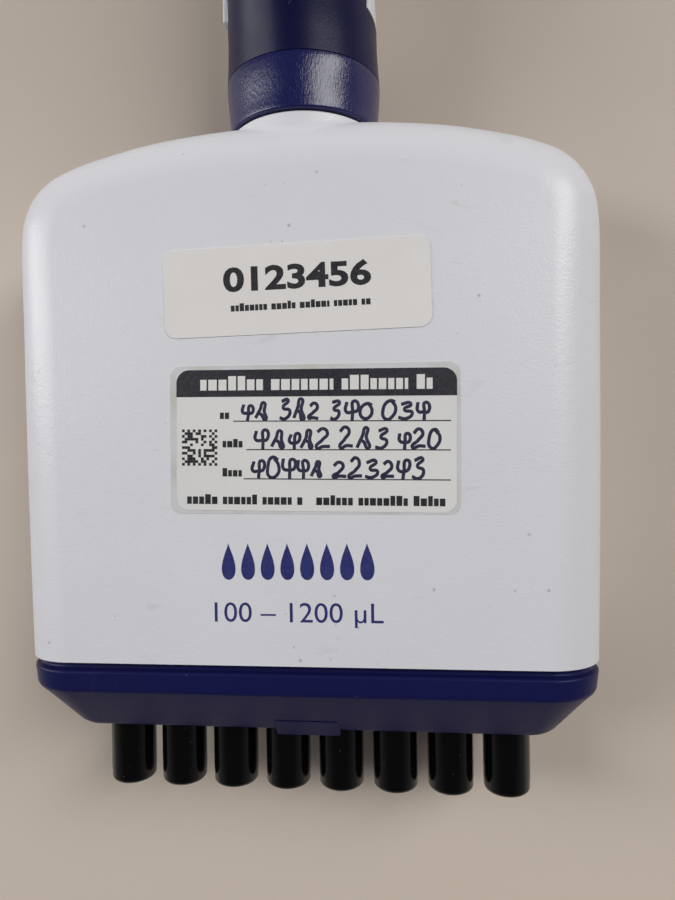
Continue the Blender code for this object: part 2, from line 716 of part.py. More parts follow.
def make_carriage(body):
    """Cross bar with a hub that the plunger pushes, and eight pistons in its sockets."""
    half_x = BORE_PITCH * (CHANNELS - 1) / 2 + PISTON_R + FIT
    bar = add_part("piston_carriage",
                   box((-half_x, -BAR_HALF_Y, BAR_Z), (half_x, BAR_HALF_Y, BAR_TOP_Z), bevel=0.6 * MM),
                   "grey", body)
    combine(bar, 'UNION', rod(HUB_R, (0, 0, BAR_Z + BAR_T / 2), (0, 0, HUB_TOP_Z)), "hub")
    neck_top = BAR_Z + BAR_T / 2
    sockets = [rod(PISTON_NECK_R + GAP, (x, 0, BAR_Z - FIT), (x, 0, neck_top + GAP))
               for x in channel_places(BORE_PITCH)]
    combine(bar, 'DIFFERENCE', many(sockets), "sockets")
    for i, x in enumerate(channel_places(BORE_PITCH)):
        add_turned(f"piston_{i + 1}", [
            (0, neck_top),
            (PISTON_NECK_R, neck_top),
            (PISTON_NECK_R, BAR_Z - GAP),
            (PISTON_R, BAR_Z - GAP),
            (PISTON_R, PISTON_Z + 0.6 * MM),
            (PISTON_R - 0.6 * MM, PISTON_Z),
            (0, PISTON_Z),
        ], "steel", body, at=(x, 0, 0), steps=12)


# ---------------------------------------------------------------- ejector, lower

BEVEL_TOP_Z = SEAM_Z - 6.1 * MM     # where the skirt's bevel turns into its wall
WALL_LOW_Z = SEAM_Z - 4.5 * MM
SKIRT_SHAPE = (                     # height, inset from the half width and half depth, corner radius
    (SKIRT_LOW_Z, SKIRT_BEVEL_X, SKIRT_BEVEL_Y, 3.0 * MM),
    (SKIRT_LOW_Z + 0.8 * MM, SKIRT_BEVEL_X - 1.2 * MM, SKIRT_BEVEL_Y - 0.8 * MM, 3.5 * MM),
    (BEVEL_TOP_Z, 1.8 * MM, 1.4 * MM, SKIRT_R - 0.9 * MM),
    (WALL_LOW_Z, 0.4 * MM, 0.0, SKIRT_R),
    (SKIRT_STEP_Z, 0.0, 0.0, SKIRT_R),
)
SKIRT_HOLLOW = (                    # the same for its inner side, from the top down
    (WALL_LOW_Z + 0.9 * MM, 2.1 * MM, 2.1 * MM, SKIRT_INNER_R),
    (BEVEL_TOP_Z + 0.9 * MM, 3.2 * MM, 3.1 * MM, SKIRT_INNER_R - 0.5 * MM),
    (SKIRT_LOW_Z + SKIRT_WALL, SKIRT_BEVEL_X + 1.345 * MM, SKIRT_BEVEL_Y + 0.47 * MM, 2.0 * MM),
)


def skirt_ring(z, inset_x, inset_y, radius):
    return ring_at(rounded_outline(SKIRT_HALF_X - inset_x, SKIRT_HALF_Y - inset_y, radius), z)


def make_skirt(body):
    """Navy skirt round the nozzles: bevelled bottom, recessed lip, rod sockets inside."""
    lip_z = SEAM_Z - GAP
    floor_z = SKIRT_LOW_Z + SKIRT_WALL
    rings = [skirt_ring(*row) for row in SKIRT_SHAPE]
    rings += [skirt_ring(z, SKIRT_INSET, SKIRT_INSET, SKIRT_R - SKIRT_INSET) for z in (SKIRT_STEP_Z, lip_z)]
    rings += [skirt_ring(lip_z, *SKIRT_HOLLOW[0][1:])]
    rings += [skirt_ring(*row) for row in SKIRT_HOLLOW]
    skirt = add_part("ejector_skirt", loft(rings), "navy", body)
    tab_y = SKIRT_HALF_Y - SKIRT_BEVEL_Y
    tab = box((-TAB_HALF_X, -tab_y, SKIRT_LOW_Z - TAB_DROP),
              (TAB_HALF_X, -tab_y + TAB_T, SKIRT_LOW_Z + SKIRT_WALL / 2), bevel=TAB_EASE)
    combine(skirt, 'UNION', tab, "tab")
    posts = [rod(EJECT_ROD_R + GAP + POST_WALL, (side * EJECT_ROD_X, EJECT_ROD_Y, POST_Z),
                 (side * EJECT_ROD_X, EJECT_ROD_Y, SKIRT_STEP_Z - FIT)) for side in (-1, 1)]
    combine(skirt, 'UNION', many(posts), "rod_posts")
    cuts = [rod(NOZZLE_R + NOZZLE_PLAY, (x, 0, 0), (x, 0, floor_z + FIT), sides=14)
            for x in channel_places(PITCH)]
    cuts += rod_holes(POST_Z + POST_FLOOR, SKIRT_STEP_Z)
    combine(skirt, 'DIFFERENCE', many(cuts), "holes")


def make_lower_ejector(body):
    """Rods, springs and the yoke that the handle's sleeve pushes."""
    make_skirt(body)
    rod_low = POST_Z + POST_FLOOR + GAP
    rod_high = YOKE_BAR_Z + YOKE_BAR_T / 2
    for side, word in ((-1, "left"), (1, "right")):
        x = side * EJECT_ROD_X
        add_part(f"ejector_rod_{word}",
                 rod(EJECT_ROD_R, (x, EJECT_ROD_Y, rod_low), (x, EJECT_ROD_Y, rod_high)),
                 "steel", body)
        add_coil(f"ejector_spring_{word}", EJECT_SPRING_R, EJECT_WIRE_R, EJECT_TURNS,
                 RETAINER_TOP_Z + GAP, YOKE_BAR_Z - GAP, "steel", body, at=(x, EJECT_ROD_Y, 0))
    bar_half_x = EJECT_ROD_X + YOKE_BAR_MARGIN_X
    bar_y = EJECT_ROD_Y + YOKE_BAR_MARGIN_Y
    yoke = add_part("ejector_yoke", box((-bar_half_x, SLEEVE_BORE_R + GAP, YOKE_BAR_Z),
                                        (bar_half_x, bar_y, YOKE_BAR_Z + YOKE_BAR_T)), "grey", body)
    web = box((-YOKE_WEB_HALF_X, SLEEVE_BORE_R + YOKE_RING_LIP, YOKE_BAR_Z + YOKE_BAR_T / 8),
              (YOKE_WEB_HALF_X, SLEEVE_R - 0.1 * MM, YOKE_RING_Z + YOKE_RING_T / 2))
    combine(yoke, 'UNION', web, "web")
    ring = rod(SLEEVE_R + YOKE_RING_LIP, (0, 0, YOKE_RING_Z), (0, 0, YOKE_RING_Z + YOKE_RING_T), 24)
    combine(yoke, 'UNION', ring, "ring")
    bore = rod(SLEEVE_BORE_R, (0, 0, YOKE_BAR_Z - FIT), (0, 0, YOKE_RING_Z + YOKE_RING_T + FIT), 24)
    combine(yoke, 'DIFFERENCE', bore, "bore")
    combine(yoke, 'DIFFERENCE', many(rod_holes(YOKE_BAR_Z - FIT, rod_high + GAP)), "rod_sockets")


# ---------------------------------------------------------------- handle

def handle_ring(section, grow=0.0, half_x=None):
    """One closed ring of the handle's skin; grow moves it out (or in, if negative)."""
    z, across, front, back = section
    a = across + grow if half_x is None else half_x
    points = []
    for i in range(HANDLE_SIDES):
        turn = 2 * math.pi * i / HANDLE_SIDES
        depth = (back if math.sin(turn) > 0 else front) + grow
        points.append(Vector((a * math.cos(turn), depth * math.sin(turn), z)))
    return points


def handle_tube():
    """The handle's wall as one open tube with a straight-sided hollow."""
    outer = [handle_ring(section) for section in HANDLE_SECTIONS]
    inner = [handle_ring(section, -HANDLE_WALL, HANDLE_BORE_X) for section in reversed(HANDLE_SECTIONS)]
    return loft(outer + inner, closed=True)


def arm_channel():
    """Room for the ejector arm: an outside channel, and a slot inwards for its foot."""
    low = ARM_LOW_Z - EJECT_TRAVEL - FIT
    far = -2 * COLLAR_R
    half_y = ARM_HALF_Y + GAP
    channel = box((far, -half_y, low), (-ARM_FLOOR_X, half_y, HANDLE_TOP_Z + CAP_T + 2 * MM))
    slot_half_y = ARM_FOOT_HALF_Y + GAP
    slot = box((-ARM_FLOOR_X - FIT, -slot_half_y, low + FIT - GAP),
               (-HANDLE_BORE_X / 2, slot_half_y, ARM_LOW_Z + ARM_FOOT_T + GAP))
    return channel, slot


def make_grip(body):
    """Navy half of the handle, with the full ring that covers the neck's lip."""
    grip = add_part("handle_grip", handle_tube(), "navy", body)
    far = 2 * HOOK_REACH
    outline = [(-far, 0), (far, 0), (far, GRIP_RING_Z), (PARTING_Y - GAP / 2, GRIP_RING_Z),
               (PARTING_Y - GAP / 2, 2 * HANDLE_TOP_Z), (-far, 2 * HANDLE_TOP_Z)]
    combine(grip, 'INTERSECT', side_on(outline_solid(outline, far)), "half")
    lip_top = COLLAR_TOP_Z + GAP + SPIGOT_LIP_T
    recess = rod(SPIGOT_R + SPIGOT_LIP + GAP, (0, 0, COLLAR_TOP_Z), (0, 0, lip_top + GAP), 24)
    combine(grip, 'DIFFERENCE', recess, "lip_recess")
    for cutter, label in zip(arm_channel(), ("arm_channel", "arm_slot")):
        combine(grip, 'DIFFERENCE', cutter, label)
    smooth(grip)


def window_span():
    """Low and high end of the counter's window."""
    return DRUM_Z - WINDOW_MARGIN, DRUM_Z + DRUMS * (DRUM_H + GAP) - GAP + WINDOW_MARGIN


def make_shell(body):
    """White half of the handle, with the window over the volume counter."""
    shell = add_part("handle_shell", handle_tube(), "white", body)
    far = 2 * HOOK_REACH
    half = box((-far, PARTING_Y + GAP / 2, GRIP_RING_Z + GAP), (far, far, 2 * HANDLE_TOP_Z))
    combine(shell, 'INTERSECT', half, "half")
    low, high = window_span()
    combine(shell, 'DIFFERENCE', box((-WINDOW_HALF_X, 0, low), (WINDOW_HALF_X, far, high)), "window")
    for cutter, label in zip(arm_channel(), ("arm_channel", "arm_slot")):
        combine(shell, 'DIFFERENCE', cutter, label)
    smooth(shell)
    pane_y = DRUM_R + FIT + 2 * GAP
    add_part("display_window",
             box((-WINDOW_HALF_X + GAP, pane_y, low + GAP),
                 (WINDOW_HALF_X - GAP, pane_y + WINDOW_T, high - GAP), bevel=0.3 * MM),
             "clear", body)


def make_cap(body):
    """Closes the handle's top round the spindle."""
    z, across, front, back = HANDLE_SECTIONS[-1]
    top = CAP_Z + CAP_T
    rings = [
        handle_ring((CAP_Z, across, front, back)),
        handle_ring((top - CAP_INSET, across, front, back)),
        handle_ring((top - 0.3 * CAP_INSET, across, front, back), -0.3 * CAP_INSET),
        handle_ring((top, across, front, back), -CAP_INSET),
    ]
    cap = add_part("handle_cap", loft(rings), "navy", body)
    bore = rod(SPINDLE_R + GAP, (0, 0, CAP_Z - FIT), (0, 0, top + FIT), 20)
    combine(cap, 'DIFFERENCE', many((bore, arm_channel()[0])), "openings")
    smooth(cap)


def make_hook(body):
    """Finger hook on the grip side, seated on the grip's curved back."""
    root_y = -HANDLE_SECTIONS[-2][2] + HANDLE_WALL
    low = HOOK_TOP_Z - HOOK_DROP
    reach = HOOK_REACH
    outline = [(root_y, HOOK_TOP_Z)]
    for i in range(5):
        turn = math.pi / 2 * (1 + i / 4)
        outline.append((-reach + HOOK_BEND * (1 + math.cos(turn)),
                        HOOK_TOP_Z - 1.0 * MM - HOOK_BEND * (1 - math.sin(turn))))
    outline += [(-reach, low + 1.5 * MM), (-reach + 1.2 * MM, low), (-reach + 0.6 * HOOK_T, low)]
    inner_bend = HOOK_BEND - 0.7 * HOOK_T
    for i in range(5):
        turn = math.pi / 2 * (2 - i / 4)
        outline.append((-reach + 0.8 * HOOK_T + inner_bend * (1 + math.cos(turn)),
                        HOOK_TOP_Z - HOOK_T - inner_bend * (1 - math.sin(turn))))
    outline.append((root_y, HOOK_TOP_Z - HOOK_T))
    hook = add_part("finger_hook", side_on(outline_solid(outline, HOOK_HALF_X)), "navy", body)
    rings = [handle_ring(section, GAP) for section in HANDLE_SECTIONS]
    combine(hook, 'DIFFERENCE', loft(rings), "seat")
    rounding = hook.modifiers.new("rounding", 'BEVEL')
    rounding.width = HOOK_EASE
    rounding.segments = 2
    rounding.limit_method = 'ANGLE'
    rounding.angle_limit = math.radians(50)
    smooth(hook)


def make_counter(body, drum_bodies):
    """Digit drums that turn on a fixed sleeve round the plunger rod."""
    sleeve_r = DRUM_BORE_R - GAP
    low = DRUM_Z - COUNTER_OVERHANG
    high = DRUM_Z + DRUMS * (DRUM_H + GAP) + COUNTER_OVERHANG
    add_turned("counter_sleeve", [(sleeve_r, high), (sleeve_r, low), (sleeve_r - COUNTER_SLEEVE_WALL, low),
                                  (sleeve_r - COUNTER_SLEEVE_WALL, high)], "grey", body)
    for i, drum_body in enumerate(drum_bodies):
        foot = DRUM_Z + i * (DRUM_H + GAP)
        top = foot + DRUM_H
        add_turned(f"counter_drum_{i + 1}",
                   [(DRUM_R, top), (DRUM_R, foot), (DRUM_BORE_R, foot), (DRUM_BORE_R, top)],
                   "digit_white", drum_body)


def make_handle(body, drum_bodies):
    add_turned("swivel_collar", [
        (COLLAR_R, COLLAR_TOP_Z),
        (COLLAR_LOW_R, COLLAR_Z + COLLAR_EASE),
        (COLLAR_LOW_R - COLLAR_EASE, COLLAR_Z),
        (SPIGOT_R + GAP, COLLAR_Z),
        (SPIGOT_R + GAP, COLLAR_TOP_Z),
    ], "navy", body, steps=24)
    make_grip(body)
    make_shell(body)
    make_cap(body)
    make_hook(body)
    make_counter(body, drum_bodies)
    add_turned("spring_seat", [
        (HANDLE_BORE_X - GAP, SEAT_Z + SEAT_T),
        (HANDLE_BORE_X - GAP, SEAT_Z),
        (SPINDLE_BORE_R, SEAT_Z),
        (SPINDLE_BORE_R, SEAT_Z + SEAT_T),
    ], "grey", body)


# ---------------------------------------------------------------- knob, lever, plunger

def make_knob(body):
    """Fluted volume knob on its spindle."""
    outline = []
    for i in range(2 * KNOB_FLUTES):
        turn = math.pi * i / KNOB_FLUTES
        radius = KNOB_R - KNOB_FLUTE_DEPTH * (i % 2)
        outline.append((radius * math.cos(turn), radius * math.sin(turn)))
    high = KNOB_Z + KNOB_H
    knob = add_part("volume_knob", laid_flat(outline_solid(outline, KNOB_H / 2), KNOB_Z, high), "navy", body)
    bore = rod(ROD_R + GAP, (0, 0, KNOB_Z - FIT), (0, 0, high + FIT), 20)
    combine(knob, 'DIFFERENCE', bore, "bore")
    add_turned("volume_spindle", [(SPINDLE_R, KNOB_Z - GAP), (SPINDLE_R, SPINDLE_Z),
                                  (SPINDLE_BORE_R, SPINDLE_Z), (SPINDLE_BORE_R, KNOB_Z - GAP)],
               "steel", body)


def make_lever(body):
    """Volume lock: a ring on the spindle with a thumb tab."""
    high = LEVER_Z + LEVER_T
    lever = add_part("volume_lock_lever",
                     rod(LEVER_RING_R, (0, 0, LEVER_Z), (0, 0, high), sides=28), "grey", body)
    tab = box((0, -LEVER_HALF_Y, LEVER_Z), (LEVER_REACH, LEVER_HALF_Y, high))
    combine(lever, 'UNION', tab, "tab")
    bore = rod(SPINDLE_R + GAP, (0, 0, LEVER_Z - FIT), (0, 0, high + FIT), 20)
    combine(lever, 'DIFFERENCE', bore, "bore")


def make_plunger(body):
    """Push button and rod; the rod's foot pushes the carriage's hub."""
    foot = HUB_TOP_Z + GAP
    top = BUTTON_Z + BUTTON_SOCKET - GAP
    flange_top = ROD_FLANGE_Z + ROD_FLANGE_T
    add_turned("plunger_rod", [
        (0, top),
        (ROD_R, top),
        (ROD_R, flange_top),
        (ROD_FLANGE_R, flange_top),
        (ROD_FLANGE_R, ROD_FLANGE_Z),
        (ROD_R, ROD_FLANGE_Z),
        (ROD_R, foot),
        (0, foot),
    ], "steel", body)
    button_top = BUTTON_Z + BUTTON_H
    recess = button_top - INSERT_T - GAP
    add_turned("plunger_button", [
        (0, recess),
        (INSERT_R + GAP, recess),
        (INSERT_R + GAP, button_top),
        (BUTTON_R - 1.6 * MM, button_top),
        (BUTTON_R - 0.5 * MM, button_top - 0.5 * MM),
        (BUTTON_R, button_top - 1.6 * MM),
        (BUTTON_R, BUTTON_Z + 0.6 * MM),
        (BUTTON_R - 0.6 * MM, BUTTON_Z),
        (ROD_R + GAP, BUTTON_Z),
        (ROD_R + GAP, BUTTON_Z + BUTTON_SOCKET),
        (0, BUTTON_Z + BUTTON_SOCKET),
    ], "navy", body, steps=24)
    add_turned("button_insert", [(0, button_top + 0.2 * MM), (INSERT_R - 0.5 * MM, button_top + 0.2 * MM),
                                 (INSERT_R, button_top - 0.2 * MM), (INSERT_R, recess + GAP),
                                 (0, recess + GAP)], "white", body, steps=24)
    add_coil("return_spring", SPRING_R, SPRING_WIRE_R, SPRING_TURNS, SEAT_Z + SEAT_T + GAP,
             ROD_FLANGE_Z - GAP, "steel", body)


# ---------------------------------------------------------------- ejector, upper

def make_upper_ejector(body):
    """Thumb button, arm in the handle's side, and the sleeve that the arm's foot drives."""
    inner_x = -ARM_FLOOR_X - GAP
    arm = add_part("ejector_arm",
                   box((inner_x - ARM_T, -ARM_HALF_Y, ARM_LOW_Z), (inner_x, ARM_HALF_Y, ARM_TOP_Z)),
                   "white", body)
    foot = box((inner_x - ARM_T / 2, -ARM_FOOT_HALF_Y, ARM_LOW_Z),
               (-SLEEVE_R - GAP, ARM_FOOT_HALF_Y, ARM_LOW_Z + ARM_FOOT_T))
    combine(arm, 'UNION', foot, "foot")
    low = YOKE_RING_Z + YOKE_RING_T + GAP
    add_turned("ejector_sleeve", [(SLEEVE_R, SLEEVE_TOP_Z), (SLEEVE_R, low),
                                  (SLEEVE_BORE_R, low), (SLEEVE_BORE_R, SLEEVE_TOP_Z)], "grey", body)
    outer_x = inner_x - ARM_T - GAP
    side_x = -HANDLE_SECTIONS[-1][1] - FIT
    thumb = add_part("ejector_button",
                     box((side_x - THUMB_T, -THUMB_HALF_Y, THUMB_LOW_Z), (side_x, THUMB_HALF_Y, THUMB_TOP_Z),
                         bevel=THUMB_EASE), "navy", body)
    tongue = box((side_x - THUMB_T / 2, -ARM_HALF_Y, THUMB_LOW_Z + 2 * MM),
                 (outer_x, ARM_HALF_Y, THUMB_TOP_Z - 4 * MM))
    combine(thumb, 'UNION', tongue, "tongue")


# ---------------------------------------------------------------- assembly

clear_scene()
PARTS = new_collection("multichannel_pipette")
GUIDES = new_collection("cutters_and_axes")
TOOL = None
TOOL = new_empty("tool_frame", at=(0, -BACK_CENTRE_Z, BODY_HALF_Y))
TOOL.rotation_euler = (-math.pi / 2, 0, 0)

carriage = new_empty("carriage_axis", TOOL, (0, 0, BAR_Z))
lower_ejector = new_empty("lower_ejector_axis", TOOL, (0, 0, YOKE_RING_Z))
handle = new_empty("handle_axis", TOOL, (0, 0, COLLAR_Z))
plunger = new_empty("plunger_axis", handle, (0, 0, BUTTON_Z - COLLAR_Z))
upper_ejector = new_empty("upper_ejector_axis", handle, (0, 0, ARM_LOW_Z - COLLAR_Z))
knob = new_empty("knob_axis", handle, (0, 0, KNOB_Z - COLLAR_Z))
lever = new_empty("lever_axis", handle, (0, 0, LEVER_Z - COLLAR_Z))
drums = [new_empty(f"drum_axis_{i + 1}", handle, (0, 0, DRUM_Z + i * (DRUM_H + GAP) - COLLAR_Z))
         for i in range(DRUMS)]

make_cover("front_cover", -1)
make_cover("rear_cover", 1)
make_screws()
make_neck()
make_nozzle_plate()
make_nozzles()
make_gasket()
make_cylinder_block()
make_seal_and_retainer()
make_carriage(carriage)
make_lower_ejector(lower_ejector)
make_handle(handle, drums)
make_knob(knob)
make_lever(lever)
make_plunger(plunger)
make_upper_ejector(upper_ejector)
bpy.context.view_layer.update()
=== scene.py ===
import math

import bmesh
import bpy
from mathutils import Matrix, Vector


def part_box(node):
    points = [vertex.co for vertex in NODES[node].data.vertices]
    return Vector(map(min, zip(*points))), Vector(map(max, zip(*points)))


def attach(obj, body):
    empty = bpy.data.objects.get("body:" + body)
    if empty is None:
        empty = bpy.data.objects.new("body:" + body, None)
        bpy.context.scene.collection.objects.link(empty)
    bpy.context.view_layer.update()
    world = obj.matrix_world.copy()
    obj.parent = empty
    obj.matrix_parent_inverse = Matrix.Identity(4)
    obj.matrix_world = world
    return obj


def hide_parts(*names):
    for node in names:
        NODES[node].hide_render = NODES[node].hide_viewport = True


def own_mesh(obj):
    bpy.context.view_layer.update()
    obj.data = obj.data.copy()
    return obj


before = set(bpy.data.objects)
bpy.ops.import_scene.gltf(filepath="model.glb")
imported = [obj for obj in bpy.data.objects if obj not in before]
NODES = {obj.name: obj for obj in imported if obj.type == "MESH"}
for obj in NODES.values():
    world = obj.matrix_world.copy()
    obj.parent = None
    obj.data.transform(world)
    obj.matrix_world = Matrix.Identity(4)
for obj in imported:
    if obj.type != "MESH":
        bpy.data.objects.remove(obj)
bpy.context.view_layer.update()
MM = 0.001
SCENE = bpy.context.scene

# The tool frame: X across the channels, Z up the axis from the nozzle ends, -Y out of the front.
TIP_LOW, TIP_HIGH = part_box("nozzle_1")
AXIS_Z = (TIP_LOW.z + TIP_HIGH.z) / 2
TOOL = Matrix.Translation((0, TIP_LOW.y, AXIS_Z)) @ Matrix.Rotation(-math.pi / 2, 4, 'X')


def mm(node):
    """A node's lowest and highest corner in the tool frame, in millimetres."""
    ends = [TOOL.inverted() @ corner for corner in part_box(node)]
    return Vector(map(min, *ends)) / MM, Vector(map(max, *ends)) / MM


def axis_of(node):
    """Where an upright node stands, in millimetres."""
    low, high = mm(node)
    return (low.x + high.x) / 2, (low.y + high.y) / 2


# ---------------------------------------------------------------- materials

class Nodes:
    """A material's node tree, with short calls for the nodes used here."""

    def __init__(self, name, colour, roughness):
        self.material = bpy.data.materials.new(name)
        self.material.use_nodes = True
        self.tree = self.material.node_tree
        self.shader = self.tree.nodes["Principled BSDF"]
        self.set("Base Color", (*colour, 1))
        self.set("Roughness", roughness)
        self.place = self.add("ShaderNodeTexCoord").outputs["Object"]

    def add(self, kind, **settings):
        node = self.tree.nodes.new(kind)
        for key, value in settings.items():
            setattr(node, key, value)
        return node

    def set(self, socket, value):
        self.shader.inputs[socket].default_value = value

    def link(self, source, target):
        self.tree.links.new(source, target)

    def feed(self, socket, source):
        self.link(source, self.shader.inputs[socket])

    def stretched(self, scale):
        """Object coordinates scaled along each axis."""
        mapping = self.add("ShaderNodeMapping")
        mapping.inputs["Scale"].default_value = scale
        self.link(self.place, mapping.inputs["Vector"])
        return mapping.outputs["Vector"]

    def noise(self, scale, detail=3.0, place=None, warp=0.0):
        node = self.add("ShaderNodeTexNoise")
        node.inputs["Scale"].default_value = scale
        node.inputs["Detail"].default_value = detail
        node.inputs["Distortion"].default_value = warp
        self.link(place or self.place, node.inputs["Vector"])
        return node.outputs["Fac"]

    def specks(self, scale, size):
        """1 in scattered round specks, 0 elsewhere; size is a share of the cell."""
        node = self.add("ShaderNodeTexVoronoi")
        node.inputs["Scale"].default_value = scale
        self.link(self.place, node.inputs["Vector"])
        return self.ramp(node.outputs["Distance"], ((0.0, 1.0), (size, 0.0)))

    def ramp(self, source, stops):
        """A grey ramp with (place, value) stops."""
        node = self.add("ShaderNodeValToRGB")
        elements = node.color_ramp.elements
        while len(elements) < len(stops):
            elements.new(0.5)
        for element, (place, value) in zip(elements, stops):
            element.position = place
            element.color = (value, value, value, 1)
        self.link(source, node.inputs["Fac"])
        return node.outputs["Color"]

    def math(self, operation, first, second):
        node = self.add("ShaderNodeMath", operation=operation)
        for socket, value in zip(node.inputs, (first, second)):
            if isinstance(value, (int, float)):
                socket.default_value = value
            else:
                self.link(value, socket)
        return node.outputs[0]

    def mix(self, share, first, second):
        """Colour mix by a share socket; first and second are colours or sockets."""
        node = self.add("ShaderNodeMix", data_type='RGBA')
        self.link(share, node.inputs[0])
        sockets = [s for s in node.inputs if s.type == 'RGBA']
        for socket, value in zip(sockets, (first, second)):
            if isinstance(value, tuple):
                socket.default_value = (*value, 1)
            else:
                self.link(value, socket)
        return [s for s in node.outputs if s.type == 'RGBA'][0]

    def drifting(self, source, colour, change):
        """A colour that drifts to a multiple of itself where the source is high."""
        changed = tuple(channel * change for channel in colour)
        return self.mix(self.ramp(source, ((0.35, 0.0), (0.65, 1.0))), colour, changed)

    def times(self, first, second):
        return self.math('MULTIPLY', first, second)

    def bump(self, *layers):
        """Layers of (height socket, strength, distance) chained into the shader's normal."""
        normal = None
        for height, strength, distance in layers:
            node = self.add("ShaderNodeBump")
            node.inputs["Strength"].default_value = strength
            node.inputs["Distance"].default_value = distance
            self.link(height, node.inputs["Height"])
            if normal is not None:
                self.link(normal, node.inputs["Normal"])
            normal = node.outputs["Normal"]
        self.feed("Normal", normal)


def moulded(name, colour, roughness, grain=1.0, dust=0.2, dust_colour=(0.5, 0.5, 0.52), shine=0.5):
    """Moulded plastic: fine spark-eroded grain, faint tone drift, dust specks and hairline scratches."""
    look = Nodes(name, colour, roughness)
    drift = look.noise(45.0, 4.0)
    fine = look.noise(3800.0, 2.0)
    tone = look.drifting(drift, colour, 0.94)
    dirt_area = look.ramp(look.noise(70.0, 3.0), ((0.48, 0.0), (0.62, 1.0)))
    dirt = look.times(look.specks(520.0, 0.11), dirt_area)
    hair = look.ramp(look.noise(60.0, 2.0, look.stretched((16.0, 1.3, 5.0)), warp=0.6),
                     ((0.495, 0.0), (0.5, 1.0), (0.505, 0.0)))
    hair = look.times(hair, look.ramp(look.noise(38.0, 2.0), ((0.60, 0.0), (0.70, 1.0))))
    marks = look.times(look.math('MAXIMUM', dirt, look.times(hair, 0.3)), dust)
    look.feed("Base Color", look.mix(marks, tone, dust_colour))
    look.feed("Roughness", look.math('ADD', look.times(drift, 0.12), roughness - 0.06))
    look.set("Specular IOR Level", shine)
    look.bump((fine, 0.35 * grain, 0.00005), (look.noise(900.0, 3.0), 0.25 * grain, 0.00006),
              (dirt, 0.3, 0.00008))
    return look.material


def white_plastic():
    """White ABS with small dark pits and grey rubs as well as the usual grain."""
    look = Nodes("white_plastic", WHITE, 0.38)
    drift = look.noise(32.0, 4.0)
    tone = look.drifting(drift, WHITE, 0.965)
    patches = look.ramp(look.noise(55.0, 3.0, warp=0.4), ((0.55, 0.0), (0.66, 1.0)))
    pits = look.times(look.specks(430.0, 0.12), patches)
    rare = look.times(look.specks(170.0, 0.06), 0.75)
    scuffs = look.ramp(look.noise(70.0, 3.0, look.stretched((2.0, 5.0, 2.0)), warp=0.5),
                       ((0.68, 0.0), (0.76, 1.0)))
    scuffs = look.times(scuffs, 0.12)
    marks = look.math('MAXIMUM', look.math('MAXIMUM', look.times(pits, 0.55), rare), scuffs)
    look.feed("Base Color", look.mix(marks, tone, (0.24, 0.23, 0.22)))
    look.feed("Roughness", look.math('ADD', look.times(drift, 0.16), 0.30))
    look.bump((look.noise(2600.0, 2.0), 0.55, 0.00007), (look.noise(700.0, 3.0), 0.30, 0.0001),
              (pits, 0.25, 0.00006))
    return look.material


def collar_plastic():
    """Navy plastic with a coarse leathery grain drawn out along the axis."""
    look = Nodes("collar_plastic", NAVY, 0.24)
    streak = look.noise(4200.0, 2.0, look.stretched((1.0, 0.30, 1.0)), warp=0.5)
    drift = look.noise(60.0, 3.0)
    look.feed("Base Color", look.mix(look.ramp(streak, ((0.4, 0.0), (0.62, 1.0))), NAVY,
                                     tuple(c * 1.25 for c in NAVY)))
    look.feed("Roughness", look.math('ADD', look.times(drift, 0.08), 0.20))
    look.bump((streak, 0.7, 0.00006), (look.noise(1600.0, 2.0), 0.25, 0.00006))
    return look.material


def black_gloss():
    """Polished black nozzle plastic, with fine rub marks round it and a little dust."""
    look = Nodes("nozzle_black", BLACK, 0.13)
    rub = look.noise(700.0, 3.0, look.stretched((1.0, 7.0, 1.0)))
    dust = look.times(look.specks(700.0, 0.07), 0.35)
    look.feed("Base Color", look.mix(dust, BLACK, (0.35, 0.35, 0.36)))
    look.feed("Roughness", look.ramp(rub, ((0.35, 0.10), (0.75, 0.22))))
    look.bump((rub, 0.05, 0.00003))
    return look.material


def steel():
    """Ground steel with fine lines along the tool."""
    look = Nodes("ground_steel", (0.55, 0.55, 0.57), 0.24)
    look.set("Metallic", 1.0)
    lines = look.noise(900.0, 4.0, look.stretched((1.0, 0.04, 1.0)))
    look.feed("Roughness", look.ramp(lines, ((0.3, 0.16), (0.7, 0.36))))
    look.feed("Base Color", look.mix(look.noise(60.0), (0.60, 0.60, 0.62), (0.48, 0.48, 0.50)))
    look.bump((lines, 0.12, 0.00004))
    return look.material


def rubber():
    """Matt black seal rubber."""
    look = Nodes("seal_rubber", (0.035, 0.035, 0.038), 0.8)
    look.feed("Roughness", look.ramp(look.noise(300.0), ((0.3, 0.70), (0.7, 0.92))))
    look.bump((look.noise(1800.0, 3.0), 0.4, 0.00008))
    return look.material


def paper(name, colour):
    """Sticker stock: faint fibres, rubbed grey in patches."""
    look = Nodes(name, colour, 0.42)
    fibres = look.noise(1700.0, 3.0, look.stretched((1.0, 2.6, 1.0)), warp=0.5)
    rubbed = look.ramp(look.noise(90.0, 4.0), ((0.45, 0.0), (0.75, 1.0)))
    tone = look.mix(look.times(fibres, 0.05), colour, (0.25, 0.24, 0.22))
    look.feed("Base Color", look.mix(look.times(rubbed, 0.10), tone, (0.30, 0.29, 0.28)))
    look.feed("Roughness", look.ramp(rubbed, ((0.0, 0.36), (1.0, 0.52))))
    look.bump((fibres, 0.10, 0.00002))
    return look.material


